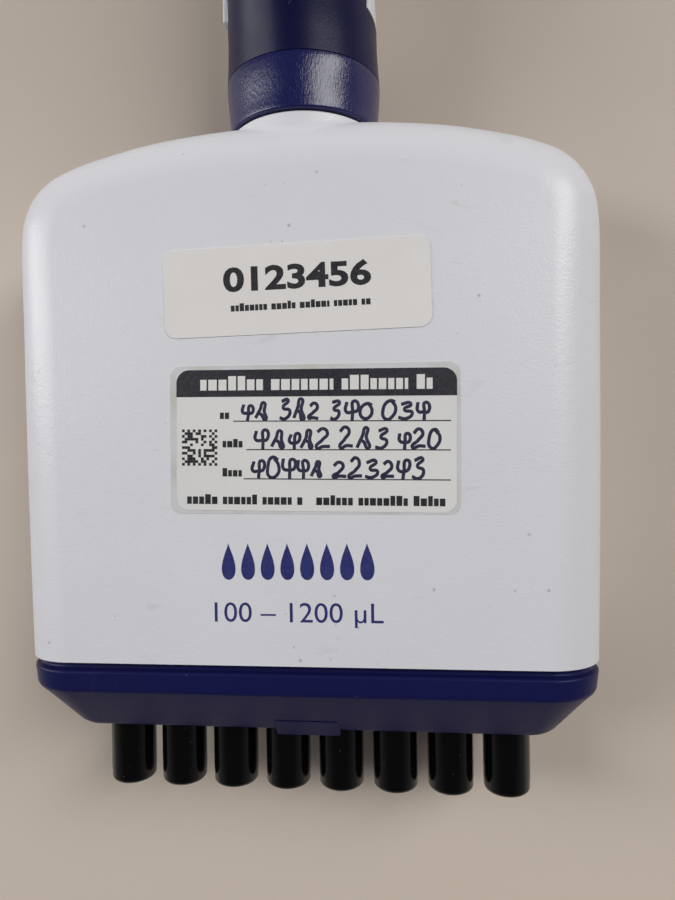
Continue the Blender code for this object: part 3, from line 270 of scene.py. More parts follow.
def ink(name, colour):
    """Printed ink: slightly uneven cover over the stock."""
    look = Nodes(name, colour, 0.5)
    thin = look.ramp(look.noise(1600.0, 3.0), ((0.30, 0.03), (0.62, 0.0)))
    look.feed("Base Color", look.mix(thin, colour, (0.55, 0.55, 0.56)))
    look.feed("Roughness", look.ramp(look.noise(400.0), ((0.3, 0.42), (0.7, 0.58))))
    return look.material


def laminate():
    """Clear over-laminate of the larger sticker."""
    look = Nodes("clear_laminate", (0.80, 0.80, 0.76), 0.22)
    dirt = look.ramp(look.noise(160.0, 4.0), ((0.45, 0.0), (0.70, 1.0)))
    look.feed("Base Color", look.mix(dirt, (0.70, 0.705, 0.73), (0.60, 0.59, 0.53)))
    look.feed("Roughness", look.ramp(dirt, ((0.0, 0.20), (1.0, 0.40))))
    look.bump((look.noise(300.0, 2.0), 0.08, 0.00005))
    return look.material


def window_clear():
    """Clear acrylic with faint scuffs."""
    look = Nodes("window_clear", (0.92, 0.95, 0.96), 0.05)
    look.set("Transmission Weight", 1.0)
    look.set("IOR", 1.49)
    look.feed("Roughness", look.ramp(look.noise(240.0, 3.0), ((0.4, 0.03), (0.8, 0.10))))
    look.bump((look.noise(500.0, 2.0), 0.03, 0.00003))
    return look.material


def table_top():
    """Pale beige laminate with a barely visible mottle, with painted light: lighter on the nozzles' side,
    darker away from it.
    """
    look = Nodes("table_top", TABLE, 0.55)
    mottle = look.noise(26.0, 5.0)
    speck = look.specks(260.0, 0.05)
    split = look.add("ShaderNodeSeparateXYZ")
    look.link(look.place, split.inputs["Vector"])
    # Painted light: the table colour goes from 1.28 of itself on the nozzles' side to 0.88 of itself away
    # from it.
    along = look.math('ADD', look.times(split.outputs["Y"], 5.0), 0.5)
    painted_light_share = look.ramp(along, ((0.0, 0.0), (0.42, 0.55), (0.95, 1.0)))
    tone = look.mix(painted_light_share, tuple(c * 1.28 for c in TABLE), tuple(c * 0.88 for c in TABLE))
    tone = look.mix(look.ramp(mottle, ((0.35, 0.0), (0.65, 0.05))), tone, TABLE_DIRT)
    look.feed("Base Color", look.mix(look.times(speck, 0.25), tone, TABLE_DIRT))
    look.feed("Roughness", look.ramp(mottle, ((0.3, 0.50), (0.7, 0.62))))
    look.bump((look.noise(700.0, 3.0), 0.10, 0.0001))
    return look.material


WHITE = (0.80, 0.805, 0.85)
NAVY = (0.010, 0.011, 0.078)
BLACK = (0.0015, 0.0015, 0.002)
TABLE = (0.58, 0.500, 0.426)
TABLE_DIRT = (0.30, 0.26, 0.22)
PAPER = (0.87, 0.84, 0.82)

MAT_WHITE = white_plastic()
MAT_NAVY = moulded("navy_plastic", NAVY, 0.34, grain=0.7, dust=0.15, shine=0.15)
# Painted shade: the navy darkened to 0.6 of itself, a shaded copy for the grip, which faces away from the
# light; the hook and the knob use it too.
MAT_NAVY_PAINTED_SHADE = moulded("navy_painted_shade", tuple(c * 0.6 for c in NAVY), 0.36, grain=0.9, dust=0.1, shine=0.18)
MAT_COLLAR = collar_plastic()
MAT_BLACK = black_gloss()
MAT_GREY = moulded("grey_plastic", (0.25, 0.26, 0.28), 0.45)
MAT_COUNTER = moulded("counter_plastic", (0.80, 0.80, 0.79), 0.45, grain=0.6, dust=0.1,
                      dust_colour=(0.3, 0.3, 0.3))
MAT_STEEL = steel()
MAT_RUBBER = rubber()
MAT_CLEAR = window_clear()
MAT_PAPER = paper("sticker_paper", PAPER)
MAT_PAPER_COOL = paper("calibration_paper", (0.84, 0.825, 0.81))
MAT_LAMINATE = laminate()
MAT_INK = ink("black_ink", (0.010, 0.010, 0.013))
MAT_BAND = ink("band_ink", (0.014, 0.014, 0.024))
MAT_PEN = ink("pen_ink", (0.012, 0.012, 0.05))
MAT_NAVY_INK = ink("navy_ink", (0.018, 0.022, 0.16))
SLOTS = {                           # the part's material slot that each look belongs to
    MAT_WHITE: "white_plastic", MAT_NAVY: "navy_plastic", MAT_NAVY_PAINTED_SHADE: "navy_plastic",
    MAT_COLLAR: "navy_plastic", MAT_BLACK: "black_plastic", MAT_GREY: "grey_plastic",
    MAT_COUNTER: "counter_plastic", MAT_STEEL: "steel", MAT_CLEAR: "window_clear",
}


# ---------------------------------------------------------------- mesh tools, in mm in the tool frame

TOOL_MM = TOOL @ Matrix.Diagonal((MM, MM, MM, 1))


def mesh_from(work):
    """The bmesh as a mesh whose faces point outwards."""
    mesh = bpy.data.meshes.new("shape")
    bmesh.ops.recalc_face_normals(work, faces=work.faces)
    work.to_mesh(mesh)
    work.free()
    return mesh


def evaluated(mesh, *modifiers):
    """The mesh after some modifiers, each (kind, settings)."""
    holder = bpy.data.objects.new("holder", mesh)
    SCENE.collection.objects.link(holder)
    for kind, settings in modifiers:
        step = holder.modifiers.new(kind, kind)
        for key, value in settings.items():
            setattr(step, key, value)
    bpy.context.view_layer.update()
    result = bpy.data.meshes.new_from_object(holder.evaluated_get(bpy.context.evaluated_depsgraph_get()))
    bpy.data.objects.remove(holder, do_unlink=True)
    return result


def carve(mesh, cutter, operation='DIFFERENCE'):
    """Boolean of two closed meshes."""
    tool = bpy.data.objects.new("cutter", cutter)
    SCENE.collection.objects.link(tool)
    result = evaluated(mesh, ('BOOLEAN', {"operation": operation, "solver": 'EXACT', "object": tool}))
    bpy.data.objects.remove(tool, do_unlink=True)
    return result


def eased(mesh, width, segments=2, angle=50.0):
    """Rounds the edges sharper than an angle."""
    return evaluated(mesh, ('BEVEL', {"width": width, "segments": segments, "limit_method": 'ANGLE',
                                      "angle_limit": math.radians(angle)}))


def together(meshes):
    """Separate solids in one mesh."""
    work = bmesh.new()
    for mesh in meshes:
        work.from_mesh(mesh)
    return mesh_from(work)


def block(low, high, bevel=0.0, segments=3):
    """A box between two corners with round edges."""
    low, high = Vector(low), Vector(high)
    work = bmesh.new()
    bmesh.ops.create_cube(work, size=1.0)
    bmesh.ops.scale(work, vec=high - low, verts=work.verts)
    bmesh.ops.translate(work, vec=(low + high) / 2, verts=work.verts)
    if bevel:
        bmesh.ops.bevel(work, geom=work.edges, offset=bevel, segments=segments, profile=0.5,
                        affect='EDGES')
    return mesh_from(work)


def rod(radius, low, high, sides=48):
    """A round bar between two points."""
    low, high = Vector(low), Vector(high)
    turn = Vector((0, 0, 1)).rotation_difference(high - low).to_matrix().to_4x4()
    work = bmesh.new()
    bmesh.ops.create_cone(work, cap_ends=True, segments=sides, radius1=radius, radius2=radius,
                          depth=(high - low).length,
                          matrix=Matrix.Translation((low + high) / 2) @ turn)
    return mesh_from(work)


def loft(rings, closed=False):
    """Skin through rings of equal point counts: capped at both ends, or closed into a tube."""
    work = bmesh.new()
    loops = [[work.verts.new(point) for point in ring] for ring in rings]
    pairs = list(zip(loops, loops[1:]))
    if closed:
        pairs.append((loops[-1], loops[0]))
    else:
        work.faces.new(loops[0])
        work.faces.new(loops[-1])
    for low, high in pairs:
        for i in range(len(low)):
            j = (i + 1) % len(low)
            work.faces.new((low[i], low[j], high[j], high[i]))
    return mesh_from(work)


def circle(radius, z, steps, at=(0, 0)):
    """Points round a circle at one height."""
    turns = [2 * math.pi * i / steps for i in range(steps)]
    return [(at[0] + radius * math.cos(turn), at[1] + radius * math.sin(turn), z) for turn in turns]


def turned(profile, steps=72, at=(0, 0)):
    """A turned solid: (radius, z) points down its outer side, and back up its bore if it has one."""
    work = bmesh.new()
    rings = []
    for radius, z in profile:
        points = circle(radius, z, steps if radius else 1, at)
        rings.append([work.verts.new(point) for point in points])
    pairs = list(zip(rings, rings[1:]))
    if profile[0][0] > 0:
        pairs.append((rings[-1], rings[0]))
    for first, second in pairs:
        for i in range(steps):
            j = (i + 1) % steps
            corners = [first[i % len(first)], first[j % len(first)],
                       second[j % len(second)], second[i % len(second)]]
            corners = [v for k, v in enumerate(corners) if v not in corners[:k]]
            if len(corners) > 2:
                work.faces.new(corners)
    return mesh_from(work)


def corner_arc(centre, radius, start, end, steps=5):
    """Points (r, z) on an arc, angles in degrees."""
    points = []
    for i in range(steps + 1):
        turn = math.radians(start + (end - start) * i / steps)
        points.append((centre[0] + radius * math.cos(turn), centre[1] + radius * math.sin(turn)))
    return points


def flat_outlines(outlines, half_t, bevel=0.0, bevel_steps=4, bezier=False, resolution=8):
    """Flat outlines (the inner ones are holes) as a 2D curve in XY, thickened along Z."""
    curve = bpy.data.curves.new("outline", 'CURVE')
    curve.dimensions = '2D'
    curve.fill_mode = 'BOTH'
    curve.extrude = half_t
    curve.bevel_depth = bevel
    curve.bevel_resolution = bevel_steps
    curve.resolution_u = resolution
    for outline in outlines:
        if bezier:
            spline = curve.splines.new('BEZIER')
            spline.bezier_points.add(len(outline) - 1)
            for knot, (x, y) in zip(spline.bezier_points, outline):
                knot.co = (x, y, 0)
                knot.handle_left_type = 'AUTO'
                knot.handle_right_type = 'AUTO'
        else:
            spline = curve.splines.new('POLY')
            spline.points.add(len(outline) - 1)
            for knot, (x, y) in zip(spline.points, outline):
                knot.co = (x, y, 0, 1)
        spline.use_cyclic_u = True
    return curve_mesh(curve)


def curve_mesh(curve):
    """A curve's or text's surface as a welded closed mesh."""
    shape = bpy.data.objects.new("shape", curve)
    SCENE.collection.objects.link(shape)
    bpy.context.view_layer.update()
    mesh = bpy.data.meshes.new_from_object(shape.evaluated_get(bpy.context.evaluated_depsgraph_get()))
    bpy.data.objects.remove(shape, do_unlink=True)
    work = bmesh.new()
    work.from_mesh(mesh)
    bmesh.ops.remove_doubles(work, verts=work.verts, dist=0.0005)
    return mesh_from(work)


def facing_front(mesh, y):
    """Turns an XY drawing to stand in the XZ plane at depth y."""
    mesh.transform(Matrix.Translation((0, y, 0)) @ Matrix.Rotation(math.pi / 2, 4, 'X'))
    return mesh


def side_on(mesh):
    """Turns an outline drawn as (y, z) into the YZ plane, its thickness along X."""
    mesh.transform(Matrix.Rotation(math.pi / 2, 4, 'Z') @ Matrix.Rotation(math.pi / 2, 4, 'X'))
    return mesh


def rounded_outline(half_x, half_y, radius, steps=10):
    """A rectangle with round corners, as (x, y) points anticlockwise."""
    points = []
    for corner, (sx, sy) in enumerate(((1, 1), (-1, 1), (-1, -1), (1, -1))):
        for i in range(steps + 1):
            turn = math.pi / 2 * (corner + i / steps)
            points.append((sx * (half_x - radius) + radius * math.cos(turn),
                           sy * (half_y - radius) + radius * math.sin(turn)))
    return points


def hermite(rows, z):
    """Smooth in-between of rows that start with z, at one z."""
    for i, (low, high) in enumerate(zip(rows, rows[1:])):
        if z <= high[0]:
            break
    before, after = rows[max(i - 1, 0)], rows[min(i + 2, len(rows) - 1)]
    step = high[0] - low[0]
    t = (z - low[0]) / step
    values = [z]
    for k in range(1, len(low)):
        rise_in = (high[k] - before[k]) / (high[0] - before[0]) * step
        rise_out = (after[k] - low[k]) / (after[0] - low[0]) * step
        values.append((2 * t ** 3 - 3 * t ** 2 + 1) * low[k] + (t ** 3 - 2 * t ** 2 + t) * rise_in
                      + (3 * t ** 2 - 2 * t ** 3) * high[k] + (t ** 3 - t ** 2) * rise_out)
    return values


def coil(radius, wire, turns, low_z, high_z, at):
    """A compression spring with closed, flat-lying ends."""
    per_turn = 28
    dead = 0.9
    steps = int(per_turn * (turns + 2 * dead))
    curve = bpy.data.curves.new("coil", 'CURVE')
    curve.dimensions = '3D'
    curve.bevel_depth = wire
    curve.bevel_resolution = 3
    curve.use_fill_caps = True
    spline = curve.splines.new('POLY')
    spline.points.add(steps)
    for i, knot in enumerate(spline.points):
        wound = i / per_turn
        share = min(max((wound - dead) / turns, 0.0), 1.0)
        layer = 2 * wire * (min(wound, dead) + max(wound - dead - turns, 0.0))
        rise = high_z - low_z - 2 * wire - 4 * wire * dead
        turn = 2 * math.pi * wound
        knot.co = (at[0] + radius * math.cos(turn), at[1] + radius * math.sin(turn),
                   low_z + wire + layer + rise * share, 1)
    return curve_mesh(curve)


def piece(name, mesh, material, body, slot=None, *nodes, angle=35.0, weighted=False):
    """A finished piece: millimetres in the tool frame become metres in the row frame."""
    mesh.transform(TOOL_MM)
    mesh.name = name
    mesh.shade_smooth()
    mesh.set_sharp_from_angle(angle=math.radians(angle))
    mesh.materials.clear()
    mesh.materials.append(material)
    part = bpy.data.objects.new(name, mesh)
    SCENE.collection.objects.link(part)
    if weighted:
        step = part.modifiers.new("even_normals", 'WEIGHTED_NORMAL')
        step.keep_sharp = True
        step.weight = 60
    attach(part, body)
    if nodes:
        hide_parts(*nodes)
    return part


def stand_in(name, mesh, material, body, **settings):
    """A piece that takes the place of the part's node of the same name."""
    return piece(name, mesh, material, body, SLOTS[material], name, **settings)


def spring(name, mesh, body):
    """A coil piece in steel that takes the place of the part's spring, with a mesh of its own."""
    wire = stand_in(name, mesh, MAT_STEEL, body, angle=60)
    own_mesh(wire)


# ---------------------------------------------------------------- manifold covers

COVER_LOW, COVER_HIGH = mm("front_cover")
HALF_X = COVER_HIGH.x
HALF_Y = -COVER_LOW.y
SEAM_Z = COVER_LOW.z
CROWN_Z = COVER_HIGH.z
FRONT_Y = -HALF_Y
GAP = 0.3                           # between pieces that touch
BODY_HALF_X = 45.4
EDGE_R = 8.5                        # rounding of the front and rear edges
WALL = 1.8
WIDEST_Z = 76.0
SEAM_NARROWING = 0.9
CROWN_SHAPE = (                     # share of the half width, and drop below the crown
    (0.477, 0.8), (0.783, 2.86), (0.932, 4.55), (0.966, 5.22), (0.991, 6.42), (1.0, 7.9),
)
NECK_R = 12.0
NECK_FOOT_Z = 99.0                  # lower end of the hole for the neck
SCREW_R = 1.1
SCREW_END_Y = -10.7                 # bottom of the blind holes in the front cover
HEAD_R = 2.4
HEAD_SEAT_Y = 8.5
BOSS_WALL = 0.7
LOW_BOSS_START = 6.0                # the lower bosses stop short of the block inside


def pillow(edge_r, resolution, steps):
    """The manifold's body as one solid, with edges of the given radius round its core."""
    half_x = BODY_HALF_X - EDGE_R
    crown = CROWN_Z - EDGE_R
    right = [(half_x - 1.5 * SEAM_NARROWING, SEAM_Z - 1.5 * EDGE_R),
             (half_x - SEAM_NARROWING, SEAM_Z), (half_x, WIDEST_Z)]
    right += [(half_x * share, crown - drop) for share, drop in reversed(CROWN_SHAPE)]
    left = [(-x, z) for x, z in reversed(right)]
    flat = flat_outlines([right + [(0, crown)] + left], HALF_Y - EDGE_R, edge_r, steps, True, resolution)
    return facing_front(flat, 0)


SCREW_NAMES = [f"cover_screw_{i + 1}" for i in range(4)]
SCREW_ENDS = [mm(name) for name in SCREW_NAMES]
SCREWS = [((low.x + high.x) / 2, (low.z + high.z) / 2) for low, high in SCREW_ENDS]


def make_cover(name, side):
    """Half shell with bosses for the screws; side is -1 for the front and 1 for the rear."""
    cover = pillow(EDGE_R, 14, 9)
    far = 2 * HALF_X
    ends = sorted((side * GAP / 2, side * far))
    cover = carve(cover, block((-far, ends[0], SEAM_Z), (far, ends[1], far + CROWN_Z)), 'INTERSECT')
    hollow = pillow(EDGE_R - WALL, 8, 5)
    bosses = []
    holes = []
    for x, z in SCREWS:
        start = GAP / 2 if z > WIDEST_Z else LOW_BOSS_START
        bosses.append(rod(HEAD_R + GAP + BOSS_WALL, (x, side * start, z), (x, side * 2 * HALF_Y, z)))
        holes.append(rod(SCREW_R + GAP, (x, 0, z), (x, 2 * HALF_Y if side > 0 else SCREW_END_Y, z)))
    hollow = carve(hollow, together(bosses))
    cover = carve(cover, hollow)
    cover = carve(cover, rod(NECK_R + GAP, (0, 0, NECK_FOOT_Z), (0, 0, 2 * CROWN_Z), 96))
    cover = carve(cover, together(holes))
    if side > 0:
        wells = [rod(HEAD_R + GAP, (x, HEAD_SEAT_Y, z), (x, 2 * HALF_Y, z), 64) for x, z in SCREWS]
        cover = carve(cover, together(wells))
    cover = eased(cover, 0.28, 3, 55)
    stand_in(name, cover, MAT_WHITE, "manifold", angle=30, weighted=True)


def make_screws():
    """Pan-head screws with a domed head and a cross recess."""
    for name, (x, z), (low, high) in zip(SCREW_NAMES, SCREWS, SCREW_ENDS):
        top_y = high.y
        head = top_y - 1.5
        profile = [(0, top_y), (1.3, top_y - 0.06), (2.0, top_y - 0.28)]
        profile += corner_arc((HEAD_R - 0.35, top_y - 0.75), 0.35, 50, 0, 3)
        profile += [(HEAD_R, head + 0.1), (HEAD_R - 0.1, head), (SCREW_R, head), (SCREW_R, low.y + 6.0)]
        thread = low.y + 6.0
        while thread > low.y + 1.3:
            profile += [(SCREW_R, thread), (SCREW_R - 0.22, thread - 0.25), (SCREW_R, thread - 0.5)]
            thread -= 0.62
        profile += [(SCREW_R - 0.3, low.y + 0.6), (0.25, low.y), (0, low.y)]
        screw = turned(profile, 40)
        screw.transform(Matrix.Translation((x, 0, z)) @ Matrix.Rotation(-math.pi / 2, 4, 'X'))
        drive_y = top_y - 0.8
        for a, b in ((1.45, 0.34), (0.34, 1.45)):
            screw = carve(screw, block((x - a, drive_y, z - b), (x + a, top_y + 2, z + b)))
        stand_in(name, screw, MAT_STEEL, "manifold")


def shoulder_z(x, y):
    """Height of the covers' shoulder near the neck."""
    share = min(abs(x) / (BODY_HALF_X - EDGE_R) / CROWN_SHAPE[0][0], 1.0)
    crown = CROWN_Z - EDGE_R - CROWN_SHAPE[0][1] * share ** 2
    past = max(abs(y) - (HALF_Y - EDGE_R), 0.0)
    return crown + math.sqrt(EDGE_R ** 2 - past ** 2)


def make_neck():
    """White spigot: its foot blends into the covers' shoulder with a soft fillet."""
    low, high = mm("neck_tube")
    steps = 128
    fillet = 0.7
    sunk = 0.05                     # the fillet's edge lies this far under the shoulder
    step_z = 106.8                  # where the spigot narrows, just under the collar
    journal_r, groove_r, bore_r, top_bore_r = 10.9, 10.2, 8.8, 8.3
    profile = [(journal_r, high.z), (journal_r, high.z - 1.2), (groove_r, high.z - 1.2), (groove_r, step_z),
               (NECK_R - 0.35, step_z), (NECK_R, step_z - 0.3)]
    rings = [circle(radius, z, steps) for radius, z in profile]
    for k in range(9):
        turn = math.pi / 2 * k / 8
        ring = []
        for c, s, _ in circle(1.0, 0.0, steps):
            ground = shoulder_z((NECK_R + fillet) * c, (NECK_R + fillet) * s) - sunk
            rise = min(fillet, step_z - 0.35 - ground)
            radius = NECK_R + rise * (1 - math.cos(turn))
            ground = shoulder_z(radius * c, radius * s) - sunk
            ring.append((radius * c, radius * s, ground + rise * (1 - math.sin(turn))))
        rings.append(ring)
    flange_r = NECK_R + 0.5
    profile = [(NECK_R + sunk, NECK_FOOT_Z + 2.5), (NECK_R, NECK_FOOT_Z + 2.0), (NECK_R, NECK_FOOT_Z + 0.1),
               (flange_r, NECK_FOOT_Z), (flange_r, low.z), (bore_r, low.z), (bore_r, step_z),
               (top_bore_r, step_z), (top_bore_r, high.z)]
    rings += [circle(radius, z, steps) for radius, z in profile]
    stand_in("neck_tube", loft(rings, closed=True), MAT_WHITE, "manifold")


make_cover("front_cover", -1)
make_cover("rear_cover", 1)
make_screws()
make_neck()


# ---------------------------------------------------------------- nozzles and skirt

CHANNELS = 8
NOZZLE_R = 3.73
NOZZLE_TOP_Z = mm("nozzle_1")[1].z
CHANNEL_XS = [axis_of(f"nozzle_{i + 1}")[0] for i in range(CHANNELS)]


def make_nozzles():
    """Polished nozzles with a flange, a rolled end and an open mouth."""
    top = NOZZLE_TOP_Z
    flange_r, flange_t, mouth_r, channel_r = 4.28, 1.2, 2.3, 1.4
    profile = [(flange_r, top), (flange_r, top - flange_t), (NOZZLE_R, top - flange_t)]
    profile += [(NOZZLE_R, 9.2), (NOZZLE_R, 2.2), (NOZZLE_R - 0.06, 1.5)]
    profile += corner_arc((NOZZLE_R - 0.86, 0.8), 0.8, 0, -90, 8)
    profile += corner_arc((2.75, 0.35), 0.35, 270, 180, 4)
    profile += [(mouth_r, 1.0), (channel_r, 5.0), (channel_r, top)]
    for i, x in enumerate(CHANNEL_XS):
        stand_in(f"nozzle_{i + 1}", turned(profile, 80, (x, 0)), MAT_BLACK, "manifold")


SKIRT_HALF_X, SKIRT_HALF_Y = mm("ejector_skirt")[1].xy
SKIRT_SHAPE = (                     # height, inset from the half width and half depth, corner radius
    (11.5, 7.3, 7.1, 3.0),
    (12.3, 6.1, 6.3, 3.5),
    (17.8, 1.8, 1.4, 7.0),
    (19.4, 0.4, 0.0, 7.9),
    (22.5, 0.0, 0.0, 7.9),
)
SKIRT_RIM_Z = 22.5                  # where the recessed lip starts
SKIRT_FLOOR_Z = 18.7                # where the posts' holes for the rods start
ROD_X = 18.0
ROD_Y = 9.2


def skirt_ring(z, inset_x, inset_y, radius):
    """The skirt's rounded outline at one height, set in from its widest."""
    outline = rounded_outline(SKIRT_HALF_X - inset_x, SKIRT_HALF_Y - inset_y, radius, 14)
    return [(x, y, z) for x, y in outline]


def make_skirt():
    """Navy skirt: bevelled bottom with soft arrises, a recessed lip, and a moulded tab."""
    lip_z = SEAM_Z - GAP
    lip = (1.2, 1.2, 6.7)
    inside = (2.1, 2.1, 6.0)
    rings = [skirt_ring(*row) for row in SKIRT_SHAPE]
    rings += [skirt_ring(SKIRT_RIM_Z, *lip), skirt_ring(lip_z, *lip), skirt_ring(lip_z, *inside)]
    rings += [skirt_ring(20.3, *inside), skirt_ring(SKIRT_FLOOR_Z, 3.2, 3.1, 5.5),
              skirt_ring(13.3, 8.6, 7.6, 2.0)]
    skirt = eased(loft(rings), 0.45, 4, 14)
    tab_half, tab_low_z, tab_top_z = 4.8, 10.75, 13.2
    tab_y = 7.1 - SKIRT_HALF_Y
    profile = [(tab_y - 1.3, tab_top_z), (tab_y + 0.75, tab_low_z), (tab_y + 1.7, tab_low_z),
               (tab_y + 1.4, tab_top_z)]
    skirt = carve(skirt, side_on(flat_outlines([profile], tab_half, 0.35, 4)), 'UNION')
    posts = [rod(2.8, (x, ROD_Y, 17.5), (x, ROD_Y, 22.0)) for x in (-ROD_X, ROD_X)]
    skirt = carve(skirt, together(posts), 'UNION')
    cuts = [rod(NOZZLE_R + 0.4, (x, 0, 0), (x, 0, 14.0), 64) for x in CHANNEL_XS]
    cuts += [rod(1.8, (x, ROD_Y, SKIRT_FLOOR_Z), (x, ROD_Y, SKIRT_RIM_Z)) for x in (-ROD_X, ROD_X)]
    skirt = carve(skirt, together(cuts))
    stand_in("ejector_skirt", skirt, MAT_NAVY, "lower_ejector", angle=30, weighted=True)


make_nozzles()
make_skirt()


# ---------------------------------------------------------------- handle

COLLAR_Z = 107.1
COLLAR_TOP_Z = 115.5
COLLAR_R = 12.65
HANDLE_SECTIONS = (                 # height, half width, depth to the grip side, to the display side
    (COLLAR_TOP_Z + 0.06, 12.65, 12.65, 12.65),
    (121.0, 12.3, 14.0, 12.6),
    (126.0, 12.25, 16.0, 13.0),
    (135.0, 11.9, 18.0, 13.0),
    (150.0, 12.0, 18.5, 13.0),
    (170.0, 12.6, 17.0, 12.8),
    (190.0, 13.4, 15.5, 12.8),
    (210.0, 14.0, 15.0, 13.8),
    (228.0, 14.0, 14.5, 14.2),
)
HANDLE_TOP_Z = 228.0
HANDLE_WALL = 2.0
BORE_X = 9.8
PARTING_Y = -6.5                    # grip in front of it, shell behind it
GRIP_RING_Z = 124.5                 # below it the grip goes all the way round
ARM_FLOOR_X = 11.4                  # bottom of the ejector arm's channel in the handle's side
ARM_CHANNEL_Z = 117.5
DRUM_R = 9.3
SPINDLE_HOLE_R = 5.1                # in the cap and in the lock lever


def handle_ring(section, grow=0.0, half_x=None):
    """A ring of two half ellipses: the grip side's and the display side's."""
    z, across, front, back = section
    half_x = half_x or across + grow
    return [(half_x * x, ((back if y > 0 else front) + grow) * y, z) for x, y, _ in circle(1.0, z, 96)]


def handle_tube():
    """The whole handle as one hollow body, with sections every 3 mm."""
    low, high = HANDLE_SECTIONS[0][0], HANDLE_TOP_Z
    count = round((high - low) / 3.0)
    levels = [hermite(HANDLE_SECTIONS, low + (high - low) * i / count) for i in range(count + 1)]
    outer = [handle_ring(level) for level in levels]
    inner = [handle_ring(level, -HANDLE_WALL, BORE_X) for level in reversed(HANDLE_SECTIONS)]
    mesh = loft(outer + inner, closed=True)
    return evaluated(mesh, ('TRIANGULATE', {}))


def arm_channel():
    """Cutters for the ejector arm's channel and for the slot of its foot."""
    channel = block((-25.3, -4.2, ARM_CHANNEL_Z), (-ARM_FLOOR_X, 4.2, HANDLE_TOP_Z + 6.7))
    slot = block((-ARM_FLOOR_X - 0.5, -2.3, ARM_CHANNEL_Z + 0.2), (-4.9, 2.3, 129.3))
    return channel, slot


def window_outline(half_x, grow, radius, middle_z, half_z):
    """The display window's outline, or with grow the opening's."""
    return [(x, z + middle_z) for x, z in rounded_outline(half_x + grow, half_z + grow, radius, 6)]


def make_grip_and_shell():
    """The navy grip in front with its full ring at the bottom, the white shell behind, the window."""
    far = 76.0
    grip = handle_tube()
    outline = [(-far, 0), (far, 0), (far, GRIP_RING_Z), (PARTING_Y - GAP / 2, GRIP_RING_Z),
               (PARTING_Y - GAP / 2, 2 * HANDLE_TOP_Z), (-far, 2 * HANDLE_TOP_Z)]
    grip = carve(grip, side_on(flat_outlines([outline], far)), 'INTERSECT')
    grip = carve(grip, rod(11.2, (0, 0, COLLAR_TOP_Z), (0, 0, 117.3), 96))
    for cutter in arm_channel():
        grip = carve(grip, cutter)
    grip = eased(grip, 0.22, 2, 60)
    stand_in("handle_grip", grip, MAT_NAVY_PAINTED_SHADE, "handle", angle=32, weighted=True)
    shell = handle_tube()
    half = block((-far, PARTING_Y + GAP / 2, GRIP_RING_Z + GAP), (far, far, 2 * HANDLE_TOP_Z))
    shell = carve(shell, half, 'INTERSECT')
    pane_low, pane_high = mm("display_window")
    middle = (pane_low + pane_high) / 2
    half_z = (pane_high.z - pane_low.z) / 2
    opening = window_outline(4.2, GAP, 1.0, middle.z, half_z)
    opening = facing_front(flat_outlines([opening], 10.0), 14.0)
    shell = carve(shell, opening)
    for cutter in arm_channel():
        shell = carve(shell, cutter)
    shell = eased(shell, 0.22, 2, 60)
    stand_in("handle_shell", shell, MAT_WHITE, "handle", angle=32, weighted=True)
    pane = window_outline(4.2, 0.0, 0.8, middle.z, half_z)
    pane = facing_front(flat_outlines([pane], 0.45, 0.3, 3), middle.y)
    stand_in("display_window", pane, MAT_CLEAR, "handle", angle=40)


def make_collar():
    """Swivel collar: slightly narrower at its foot, with soft lips at both ends."""
    bore_r, foot_r, top_lip, foot_lip = 10.5, 12.2, 0.12, 0.45
    profile = [(bore_r, COLLAR_TOP_Z), (COLLAR_R - top_lip, COLLAR_TOP_Z)]
    profile += corner_arc((COLLAR_R - top_lip, COLLAR_TOP_Z - top_lip), top_lip, 90, 0, 3)
    for i in range(1, 12):
        share = i / 12
        z = COLLAR_TOP_Z - top_lip - share * (COLLAR_TOP_Z - top_lip - COLLAR_Z - foot_lip)
        profile.append((COLLAR_R + (foot_r - COLLAR_R) * (3 * share ** 2 - 2 * share ** 3), z))
    profile += corner_arc((foot_r - foot_lip, COLLAR_Z + foot_lip), foot_lip, 0, -90, 6)
    profile += [(bore_r, COLLAR_Z)]
    stand_in("swivel_collar", turned(profile, 128), MAT_COLLAR, "handle")


def make_cap():
    """Handle cap: the handle's outline with a round upper edge and a hole for the spindle."""
    low, high = mm("handle_cap")
    outline = HANDLE_SECTIONS[-1][1:]
    edge, foot = 1.5, 0.25
    rings = [handle_ring((low.z, *outline), -foot), handle_ring((low.z + foot, *outline))]
    for i in range(7):
        turn = math.pi / 2 * i / 6
        z = high.z - edge + edge * math.sin(turn)
        rings.append(handle_ring((z, *outline), -edge * (1 - math.cos(turn))))
    cap = carve(loft(rings), rod(SPINDLE_HOLE_R, (0, 0, low.z - 1), (0, 0, high.z + 1), 64))
    cap = carve(cap, arm_channel()[0])
    cap = eased(cap, 0.2, 2, 60)
    stand_in("handle_cap", cap, MAT_NAVY, "handle", angle=32, weighted=True)


